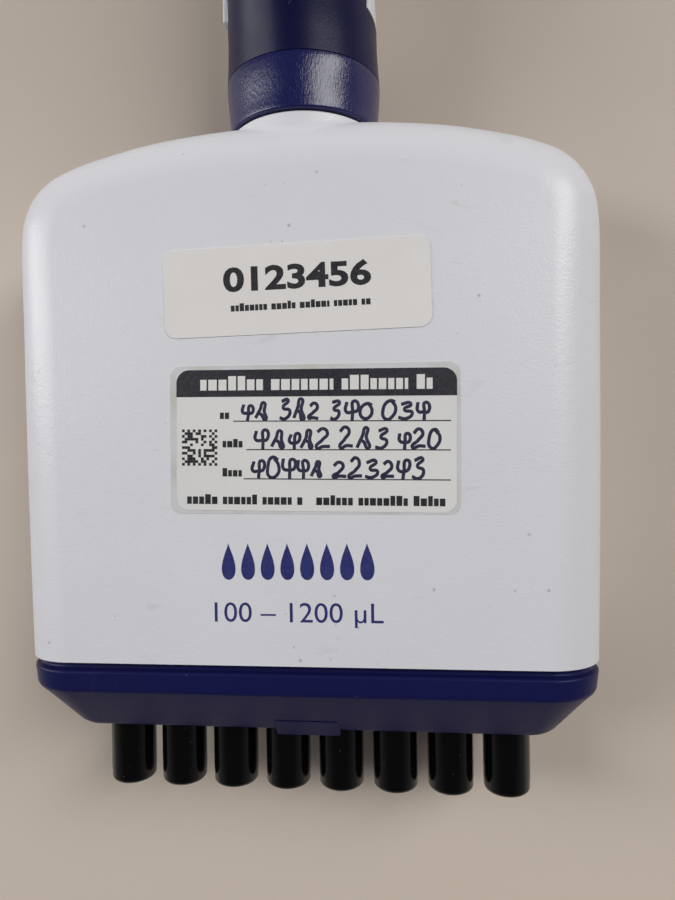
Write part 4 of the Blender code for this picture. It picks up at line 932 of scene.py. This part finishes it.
def make_hook():
    """Finger hook: a curved blade with round edges, seated on the grip."""
    low, high = mm("finger_hook")
    top, tip_y, bottom = high.z, low.y, low.z
    thick, bend, root, ease = 5.0, 9.0, -13.0, 1.1
    inner_y = tip_y + 0.8 * thick
    inner_bend = bend - 0.7 * thick
    quarter = [math.pi / 2 * (1 + i / 12) for i in range(13)]
    outline = [(root, top - ease)]
    outline += [(tip_y + bend + (bend - ease) * math.cos(turn),
                 top - 1.0 - bend + (bend - ease) * math.sin(turn)) for turn in quarter]
    outline += [(tip_y + ease, bottom + 2.2), (tip_y + ease + 0.7, bottom + ease),
                (inner_y - ease - 0.3, bottom + ease), (inner_y - ease, bottom + 1.9)]
    outline += [(inner_y + inner_bend * (1 + math.cos(turn)) - ease * abs(math.cos(turn)),
                 top - thick - inner_bend * (1 - math.sin(turn)) + ease * math.sin(turn))
                for turn in reversed(quarter)]
    outline.append((root, top - thick + ease))
    hook = side_on(flat_outlines([outline], 8.0 - ease, ease, 5))
    seat = loft([handle_ring(hermite(HANDLE_SECTIONS, z), GAP) for z in range(196, 229, 4)])
    hook = carve(hook, seat)
    stand_in("finger_hook", hook, MAT_NAVY_PAINTED_SHADE, "handle", angle=40, weighted=True)


def make_counter():
    """Numbered drums behind the window, on their sleeve."""
    low, high = mm("counter_sleeve")
    sleeve = turned([(6.6, high.z), (6.6, low.z), (5.4, low.z), (5.4, high.z)])
    stand_in("counter_sleeve", eased(sleeve, 0.15, 2, 50), MAT_GREY, "handle")
    lip = 0.3
    for i, shown in enumerate((2, 1, 0)):
        body = f"drum_{i + 1}"
        low, high = mm(f"counter_drum_{i + 1}")
        profile = [(6.9, high.z), (DRUM_R - lip, high.z)]
        profile += corner_arc((DRUM_R - lip, high.z - lip), lip, 90, 0, 3)
        profile += corner_arc((DRUM_R - lip, low.z + lip), lip, 0, -90, 3) + [(6.9, low.z)]
        stand_in(f"counter_drum_{i + 1}", turned(profile, 120), MAT_COUNTER, body, angle=30)
        centre = (low.z + high.z) / 2
        digits = []
        for value in range(10):
            glyph = lettering(str(value), 4.4, 0.75)
            for vertex in glyph.vertices:
                turn = vertex.co.x / DRUM_R + math.radians(36 * (value - shown))
                out = DRUM_R + 0.03 + vertex.co.z
                vertex.co = (-out * math.sin(turn), out * math.cos(turn), centre + vertex.co.y)
            digits.append(glyph)
        piece(f"drum_{i + 1}_digits", together(digits), MAT_INK, body)


def lettering(words, height, squeeze=1.0, bold=0.0, half_t=0.02):
    """Plain lettering centred on the origin in XY, as a thin closed solid; height is a capital's."""
    text = bpy.data.curves.new("lettering", 'FONT')
    text.body = words
    text.size = 10.0
    text.extrude = half_t
    text.offset = bold
    text.resolution_u = 4
    mesh = curve_mesh(text)
    low = Vector([min(v.co[k] for v in mesh.vertices) for k in range(2)])
    high = Vector([max(v.co[k] for v in mesh.vertices) for k in range(2)])
    scale = height / (high.y - low.y)
    middle = (low + high) / 2
    for vertex in mesh.vertices:
        vertex.co = ((vertex.co.x - middle.x) * scale * squeeze, (vertex.co.y - middle.y) * scale,
                     vertex.co.z)
    return mesh


def make_knob():
    """Fluted knob with a rounded upper edge and a shallow dish round the plunger."""
    low, high = mm("volume_knob")
    knob_r, flutes, depth, bore_r, edge = 10.5, 18, 0.7, 3.3, 1.35
    steps = flutes * 12

    def ring(z, inset, share=1.0):
        points = []
        for i in range(steps):
            turn = 2 * math.pi * i / steps
            radius = knob_r - inset - share * depth * (0.5 - 0.5 * math.cos(flutes * turn)) ** 2
            points.append((radius * math.cos(turn), radius * math.sin(turn), z))
        return points

    rings = [ring(low.z, 0.7, 0.3), ring(low.z + 0.12, 0.3, 0.6), ring(low.z + 0.45, 0.0)]
    rings += [ring(low.z + 0.45 + (high.z - low.z - 1.8) * k / 4, 0.0) for k in range(1, 5)]
    for k in range(1, 6):
        turn = math.pi / 2 * k / 5
        rings.append(ring(high.z - edge + edge * math.sin(turn), edge * (1 - math.cos(turn)),
                          1 - 0.7 * k / 5))
    dish_z = high.z - 0.35
    rings += [ring(high.z, 3.2, 0.0), ring(dish_z, 3.6, 0.0)]
    rings += [circle(radius, z, steps)
              for radius, z in ((bore_r + 0.3, dish_z), (bore_r, dish_z - 0.25), (bore_r, low.z))]
    stand_in("volume_knob", loft(rings, closed=True), MAT_NAVY_PAINTED_SHADE, "knob", angle=45)


def make_lever():
    """Lock lever: ring with a rounded thumb tab and grip lines."""
    low, high = mm("volume_lock_lever")
    radius, reach, half, tip_r, ease = 9.5, 17.0, 3.0, 1.6, 0.45
    start = math.asin((half + 0.8) / radius)
    outline = []
    for i in range(49):
        turn = start + (2 * math.pi - 2 * start) * i / 48
        outline.append(((radius - ease) * math.cos(turn), (radius - ease) * math.sin(turn)))
    outline += [(10.2, -half + ease), (reach - tip_r, -half + ease)]
    for side, turns in ((-1, (-60, -30, 0)), (1, (0, 30, 60))):
        for turn in map(math.radians, turns):
            outline.append((reach - tip_r - ease + tip_r * math.cos(turn),
                            (half - tip_r) * side + (tip_r - ease) * math.sin(turn)))
    outline += [(reach - tip_r, half - ease), (10.2, half - ease)]
    lever = flat_outlines([outline], (high.z - low.z) / 2 - ease, ease, 3)
    lever.transform(Matrix.Translation((0, 0, (low.z + high.z) / 2)))
    lever = carve(lever, rod(SPINDLE_HOLE_R, (0, 0, low.z - 1), (0, 0, high.z + 1), 64))
    ribs = [block((x, -2.0, high.z - 0.3), (x + 0.5, 2.0, high.z + 0.12), 0.12, 2)
            for x in (11.6, 12.9, 14.2)]
    lever = carve(lever, together(ribs), 'UNION')
    stand_in("volume_lock_lever", lever, MAT_GREY, "lock_lever", angle=40)


def make_plunger():
    """Rod with a flange under the return spring, domed button, white insert, and the spring."""
    low, high = mm("plunger_rod")
    flange_low, flange_high = 170.0, 172.0
    profile = [(0, high.z), (2.7, high.z), (3.0, high.z - 0.3), (3.0, flange_high + 0.4), (3.4, flange_high)]
    profile += corner_arc((6.7, flange_high - 0.3), 0.3, 90, 0, 3)
    profile += corner_arc((6.7, flange_low + 0.3), 0.3, 0, -90, 3)
    profile += [(3.0, flange_low), (3.0, low.z + 0.5), (2.5, low.z), (0, low.z)]
    stand_in("plunger_rod", turned(profile, 64), MAT_STEEL, "plunger")
    low, high = mm("plunger_button")
    recess = high.z - 1.2
    profile = [(0, recess), (6.3, recess), (6.3, high.z - 0.15), (6.45, high.z), (7.2, high.z)]
    profile += corner_arc((7.2, high.z - 1.8), 1.8, 90, 0, 10)
    profile += [(8.85, high.z - 3.2), (8.7, high.z - 4.2), (8.8, low.z + 1.6)]
    profile += corner_arc((8.1, low.z + 0.8), 0.8, 0, -90, 6)
    profile += [(3.3, low.z), (3.3, low.z + 4.0), (0, low.z + 4.0)]
    stand_in("plunger_button", turned(profile, 96), MAT_NAVY, "plunger")
    low, high = mm("button_insert")
    insert_r = 6.0
    profile = [(insert_r * math.sin(turn), high.z - 0.35 * (1 - math.cos(turn)))
               for turn in [math.radians(75) * k / 8 for k in range(9)]]
    profile += [(insert_r, high.z - 0.45), (insert_r, low.z), (0, low.z)]
    stand_in("button_insert", turned(profile, 96), MAT_WHITE, "plunger")
    low, high = mm("return_spring")
    spring("return_spring", coil(5.6, 0.5, 7, low.z, high.z, (0, 0)), "handle")


def make_upper_ejector():
    """Thumb button with grip ribs, its white arm down the handle's side, and the sleeve inside."""
    low, high = mm("ejector_button")
    middle_z = (low.z + high.z) / 2
    half_z, half_y = (high.z - low.z) / 2, 6.5
    outer, inner = low.x, low.x + 5.0
    rings = []
    for x, inset in ((inner, 0.8), (inner - 0.15, 0.4), (inner - 0.6, 0.05), (inner - 1.0, 0.0),
                     (outer + 1.7, 0.0), (outer + 1.15, 0.12), (outer + 0.6, 0.5), (outer + 0.2, 1.1),
                     (outer, 2.0)):
        outline = rounded_outline(half_y - inset, half_z - inset, 2.6 - 0.8 * inset, 10)
        rings.append([(x, y, middle_z + z) for y, z in outline])
    thumb = loft(rings)
    ribs = [block((outer - 0.24, -4.2, z - 0.35), (outer + 0.38, 4.2, z + 0.35), 0.2, 2)
            for z in [middle_z + 2.1 * k for k in range(-2, 3)]]
    thumb = carve(thumb, together(ribs), 'UNION')
    arm_low, arm_high = mm("ejector_arm")
    tongue = block((inner - 2.5, -3.9, low.z + 2), (-13.0, 3.9, high.z - 4), 0.2, 2)
    thumb = carve(thumb, tongue, 'UNION')
    stand_in("ejector_button", thumb, MAT_NAVY, "upper_ejector")
    arm = block((arm_low.x, -3.9, arm_low.z), (arm_low.x + 1.0, 3.9, arm_high.z), 0.22, 2)
    foot = block((arm_low.x + 0.5, -2.0, arm_low.z), (-8.3, 2.0, arm_low.z + 3.0), 0.15, 2)
    stand_in("ejector_arm", carve(arm, foot, 'UNION'), MAT_WHITE, "upper_ejector")
    low, high = mm("ejector_sleeve")
    sleeve = turned([(8.0, high.z), (8.0, low.z), (5.5, low.z), (5.5, high.z)])
    stand_in("ejector_sleeve", eased(sleeve, 0.2, 2, 50), MAT_GREY, "upper_ejector")


make_grip_and_shell()
make_collar()
make_cap()
make_hook()
make_counter()
make_knob()
make_lever()
make_plunger()
make_upper_ejector()


# ---------------------------------------------------------------- inside pieces

PLAIN_NODES = {                     # inner pieces that keep the part's own shape
    "nozzle_plate": MAT_NAVY, "nozzle_gasket": MAT_RUBBER, "cylinder_block": MAT_GREY,
    "seal_strip": MAT_RUBBER, "seal_retainer": MAT_STEEL, "piston_carriage": MAT_GREY,
    "ejector_yoke": MAT_GREY, "spring_seat": MAT_GREY, "volume_spindle": MAT_STEEL,
}


def make_pistons():
    """Pistons with a neck that stands in the carriage's bar."""
    neck_low = mm("piston_carriage")[0].z - GAP
    piston_r, neck_r, lip = 4.4, 2.2, 0.3
    for i in range(CHANNELS):
        name = f"piston_{i + 1}"
        low, high = mm(name)
        profile = [(0, high.z), (neck_r - lip, high.z), (neck_r, high.z - lip), (neck_r, neck_low),
                   (piston_r - lip, neck_low)]
        profile += corner_arc((piston_r - lip, neck_low - lip), lip, 90, 0, 3)
        profile += [(piston_r, low.z + 0.8), (piston_r - 0.2, low.z + 0.25), (piston_r - 0.7, low.z),
                    (0, low.z)]
        stand_in(name, turned(profile, 56, (axis_of(name)[0], 0)), MAT_STEEL, "carriage")


def make_ejector_rods():
    """The ejector's two rods and the return springs round them."""
    rod_r, lip = 1.5, 0.3
    for word in ("left", "right"):
        name = f"ejector_rod_{word}"
        low, high = mm(name)
        profile = [(0, high.z), (rod_r - lip, high.z), (rod_r, high.z - lip), (rod_r, low.z + lip),
                   (rod_r - lip, low.z), (0, low.z)]
        stand_in(name, turned(profile, 40, axis_of(name)), MAT_STEEL, "lower_ejector")
        name = f"ejector_spring_{word}"
        low, high = mm(name)
        wire = coil(2.3, 0.25, 6, low.z, high.z, axis_of(name))
        spring(name, wire, "manifold")


def dress(node, material):
    """Gives a node that stays as it is its look, and eases its edges."""
    node.data.materials.clear()
    node.data.materials.append(material)
    soften = node.modifiers.new("soft_edges", 'BEVEL')
    soften.width = 0.12 * MM
    soften.segments = 2
    soften.limit_method = 'ANGLE'
    soften.angle_limit = math.radians(50)


make_pistons()
make_ejector_rods()
for plain, material in PLAIN_NODES.items():
    dress(NODES[plain], material)


# ---------------------------------------------------------------- stickers and print

STICKER_T = 0.12
LAMINATE_T = 0.06
SUNK_T = 0.02                       # how far a sticker's underside lies in the cover
PRINT_HALF_T = 0.01
PRINT_LIFT = 0.012                  # height of a print's middle above its stock
FACE_PRINT_HALF_T = 0.012           # the same for what is printed on the cover itself
FACE_PRINT_LIFT = 0.008


class Sheet:
    """A flat drawing area on the front face: local X and Y in mm from a centre, turned by an angle."""

    def __init__(self, x, z, angle, depth):
        self.place = (Matrix.Translation((x, FRONT_Y - depth, z)) @ Matrix.Rotation(math.pi / 2, 4, 'X')
                      @ Matrix.Rotation(math.radians(angle), 4, 'Z'))

    def put(self, name, meshes, material):
        drawing = together(meshes)
        drawing.transform(self.place)
        piece(name, drawing, material, "manifold", angle=30)


def slab(half_x, half_y, radius, low_t, high_t):
    """A thin rounded rectangle standing out of the drawing area from low_t to high_t."""
    mesh = flat_outlines([rounded_outline(half_x, half_y, radius, 8)], (high_t - low_t) / 2)
    return placed(mesh, 0, 0, (low_t + high_t) / 2)


def bar(x0, x1, low_y, high_y, lift=PRINT_LIFT):
    """A thin printed rectangle."""
    return block((x0, low_y, lift - PRINT_HALF_T), (x1, high_y, lift + PRINT_HALF_T))


def placed(mesh, x, y, lift):
    mesh.transform(Matrix.Translation((x, y, lift)))
    return mesh


class Draw:
    """Small repeatable random numbers."""

    def __init__(self, seed):
        self.state = seed

    def next(self, low=0.0, high=1.0):
        self.state = (self.state * 1103515245 + 12345) % 2147483648
        return low + (high - low) * self.state / 2147483648


def greeked(x0, x1, y, height, draw, lift=PRINT_LIFT):
    """A row of blocks that stands for words."""
    blocks = []
    x = x0
    while x < x1 - 0.3:
        word_end = min(x + draw.next(5.0, 9.0) * height * 0.62, x1)
        while x < word_end - 0.3:
            width = min(height * draw.next(0.40, 0.62), word_end - x)
            tall = height * (1.0 if draw.next() > 0.78 else 0.76)
            blocks.append(bar(x, x + width, y - height / 2, y - height / 2 + tall, lift))
            x += width + 0.126 * height
        x += height * 0.45
    return blocks


def pen_stroke(points):
    """A pen line through points, flattened on the paper."""
    curve = bpy.data.curves.new("stroke", 'CURVE')
    curve.dimensions = '3D'
    curve.bevel_depth = 0.25
    curve.bevel_resolution = 2
    curve.resolution_u = 6
    curve.use_fill_caps = True
    spline = curve.splines.new('BEZIER')
    spline.bezier_points.add(len(points) - 1)
    for knot, (x, y) in zip(spline.bezier_points, points):
        knot.co = (x, y, 0)
        knot.handle_left_type = 'AUTO'
        knot.handle_right_type = 'AUTO'
    mesh = curve_mesh(curve)
    for vertex in mesh.vertices:
        vertex.co.z *= 0.12
    return mesh


PEN_SHAPES = (                      # strokes in a unit cell
    ((0.9, 0.85), (0.45, 1.0), (0.05, 0.55), (0.3, 0.02), (0.85, 0.15), (0.95, 0.6), (0.6, 0.95)),
    ((0.1, 0.9), (0.15, 0.4), (0.55, 0.35), (0.95, 0.45), (0.7, 0.9), (0.6, 0.3), (0.62, -0.1)),
    ((0.05, 0.8), (0.4, 1.0), (0.75, 0.75), (0.45, 0.4), (0.05, 0.05), (0.5, 0.1), (1.05, 0.08)),
    ((0.1, 0.05), (0.35, 0.6), (0.55, 1.0), (0.65, 0.5), (0.8, 0.0), (0.5, 0.35), (0.2, 0.4)),
    ((0.15, 0.9), (0.75, 0.95), (0.4, 0.55), (0.9, 0.4), (0.6, 0.0), (0.1, 0.1)),
)


def scribble(x0, x1, y, height, draw):
    """Loose pen marks in place of handwriting."""
    strokes = []
    x = x0
    count = 0
    while x < x1 - 1.6:
        width = draw.next(1.5, 2.3)
        shape = PEN_SHAPES[int(draw.next(0, len(PEN_SHAPES)))]
        tall = height * draw.next(0.72, 1.0)
        lean = draw.next(0.15, 0.5)
        points = [(x + px * width + lean * py * 0.8 + draw.next(-0.1, 0.1),
                   y + py * tall + draw.next(-0.12, 0.12)) for px, py in shape]
        strokes.append(pen_stroke(points))
        x += width + draw.next(0.25, 0.5)
        count += 1
        if count % 3 == 2 and draw.next() > 0.35:
            x += 1.1
    return strokes


def make_asset_sticker():
    """Paper sticker with a plain number and a line of small print."""
    place = (0.3, 79.4, 0.8)
    sheet = Sheet(*place, 0.0)
    sheet.put("asset_sticker", [slab(19.8, 6.55, 1.8, -SUNK_T, STICKER_T)], MAT_PAPER)
    top = Sheet(*place, STICKER_T)
    digits = placed(lettering("0123456", 3.75, 1.30, bold=0.32, half_t=PRINT_HALF_T), 0.3, 1.75, PRINT_LIFT)
    top.put("asset_number", [digits], MAT_INK)
    top.put("asset_small_print", greeked(-9.6, 11.4, -2.4, 1.15, Draw(11)), MAT_INK)


def make_calibration_sticker():
    """Filled-in form under a clear laminate: header, three ruled lines, a block code and a footer."""
    border = Sheet(2.55, 57.25, -0.6, 0.0)
    border.put("calibration_laminate", [slab(21.35, 10.95, 1.6, -SUNK_T, LAMINATE_T)], MAT_LAMINATE)
    place = (2.75, 57.1, -1.0)
    sheet = Sheet(*place, LAMINATE_T)
    sheet.put("calibration_sticker", [slab(20.65, 10.4, 1.9, -SUNK_T, LAMINATE_T)], MAT_PAPER_COOL)
    top = Sheet(*place, STICKER_T)
    band = slab(20.65, 10.4, 1.9, PRINT_LIFT - PRINT_HALF_T, PRINT_LIFT + PRINT_HALF_T)
    band = carve(band, block((-30, -30, -1), (30, 6.4, 1)))
    top.put("calibration_header", [band], MAT_BAND)
    draw = Draw(5)
    top.put("header_marks", greeked(-17.0, 17.2, 8.4, 2.1, draw, 0.03), MAT_PAPER_COOL)
    rules = [(2.8, -12.0, -14.0), (-1.4, -10.0, -13.6), (-5.7, -10.4, -13.6)]
    marks = [bar(start, 19.8, y - 0.08, y + 0.08) for y, start, word in rules]
    for y, start, word in rules:
        marks += greeked(word, start - 0.3, y + 0.95, 1.25, draw)
    marks += greeked(-19.0, -1.6, -8.75, 1.45, draw)
    marks += greeked(0.4, 19.2, -8.75, 1.45, draw)
    top.put("form_print", marks, MAT_INK)
    cells = []
    count = 13
    left, bottom, side = -19.8, -3.8, 5.4 / count
    for i in range(count):
        for j in range(count):
            edge = min(i, j, count - 1 - i, count - 1 - j)
            ring = edge == 0 and (i + j) % 2 == 0
            if ring or (edge > 0 and draw.next() > 0.52):
                cells.append(bar(left + i * side, left + (i + 0.97) * side,
                                 bottom + j * side, bottom + (j + 0.97) * side))
    top.put("block_pattern", cells, MAT_INK)
    pen = []
    for y, start, word in rules:
        pen += scribble(start + 1.0, 18.6, y + 0.25, 3.1, draw)
    top.put("pen_marks", pen, MAT_PEN)


def droplet(x, y, height):
    """A teardrop with its tip up."""
    points = []
    for i in range(33):
        turn = 2 * math.pi * i / 32
        points.append((x + 0.27 * height * math.sin(turn) * math.sin(turn / 2) ** 1.4,
                       y + height * (0.5 * math.cos(turn) - 0.05)))
    return flat_outlines([points[:-1]], FACE_PRINT_HALF_T)


def make_print():
    """Eight droplets for the eight channels, and the volume range."""
    face = Sheet(0.0, 0.0, 0.0, 0.0)
    drops = [placed(droplet(-10.3 + 2.94 * i, 39.6, 5.4), 0, 0, FACE_PRINT_LIFT) for i in range(CHANNELS)]
    face.put("channel_pictogram", drops, MAT_NAVY_INK)
    words = lettering("100 – 1200 µL", 3.6, 1.06, half_t=FACE_PRINT_HALF_T)
    face.put("volume_range", [placed(words, 0.0, 31.5, FACE_PRINT_LIFT)], MAT_NAVY_INK)


make_asset_sticker()
make_calibration_sticker()
make_print()


# ---------------------------------------------------------------- floor, light and camera

HORIZON_LIGHT = (0.26, 0.26, 0.27)
ZENITH_LIGHT = (0.05, 0.05, 0.053)
CAMERA_PLACE = (0.0168, -0.0042, 0.1275)
CAMERA_TURN = (-0.217, 6.143, -0.949)       # degrees about X, Y and Z


def make_floor():
    """The table top, a hair under the tool."""
    half = 6.0
    work = bmesh.new()
    bmesh.ops.create_grid(work, x_segments=4, y_segments=4, size=half)
    mesh = bpy.data.meshes.new("table")
    work.to_mesh(mesh)
    work.free()
    mesh.materials.append(table_top())
    floor = bpy.data.objects.new("table", mesh)
    floor.location = (0, 0.05, -0.0002)
    SCENE.collection.objects.link(floor)


def area_light(name, place, size_x, size_y, power, colour):
    """A rectangular lamp in metres, aimed at the manifold."""
    aim = Vector((0, 0.04, 0))
    lamp = bpy.data.lights.new(name, 'AREA')
    lamp.shape = 'RECTANGLE'
    lamp.size = size_x
    lamp.size_y = size_y
    lamp.energy = power
    lamp.color = colour
    holder = bpy.data.objects.new(name, lamp)
    holder.location = place
    holder.rotation_euler = (aim - Vector(place)).to_track_quat('-Z', 'Y').to_euler()
    SCENE.collection.objects.link(holder)


def make_light():
    """A room that is darker overhead, a softbox on the right and a longer one on the left."""
    world = bpy.data.worlds.new("studio")
    world.use_nodes = True
    tree = world.node_tree
    place = tree.nodes.new("ShaderNodeTexCoord")
    split = tree.nodes.new("ShaderNodeSeparateXYZ")
    ramp = tree.nodes.new("ShaderNodeValToRGB")
    stops = ((0.5, HORIZON_LIGHT), (0.86, ZENITH_LIGHT))
    for element, (place_on_ramp, colour) in zip(ramp.color_ramp.elements, stops):
        element.position = place_on_ramp
        element.color = (*colour, 1)
    centre = tree.nodes.new("ShaderNodeMapRange")
    centre.inputs["From Min"].default_value = -1.0
    tree.links.new(place.outputs["Generated"], split.inputs["Vector"])
    tree.links.new(split.outputs["Z"], centre.inputs["Value"])
    tree.links.new(centre.outputs["Result"], ramp.inputs["Fac"])
    tree.links.new(ramp.outputs["Color"], tree.nodes["Background"].inputs["Color"])
    SCENE.world = world
    area_light("right_softbox", (0.71, 0.48, 0.83), 0.34, 0.90, 8.6, (1.0, 0.99, 0.97))
    area_light("left_softbox", (-0.97, 0.25, 0.55), 0.30, 1.10, 7.6, (1.0, 1.0, 1.0))


def make_camera():
    """Nearly straight down at the front face, turned slightly, as one holds a telephone over it."""
    camera = bpy.data.cameras.new("camera")
    camera.lens = 27.17
    camera.sensor_width = 36.0
    camera.sensor_fit = 'AUTO'
    camera.clip_start = 0.005
    holder = bpy.data.objects.new("camera", camera)
    holder.location = CAMERA_PLACE
    holder.rotation_euler = [math.radians(angle) for angle in CAMERA_TURN]
    SCENE.collection.objects.link(holder)
    SCENE.camera = holder


make_floor()
make_light()
make_camera()
SCENE.view_settings.view_transform = 'Standard'
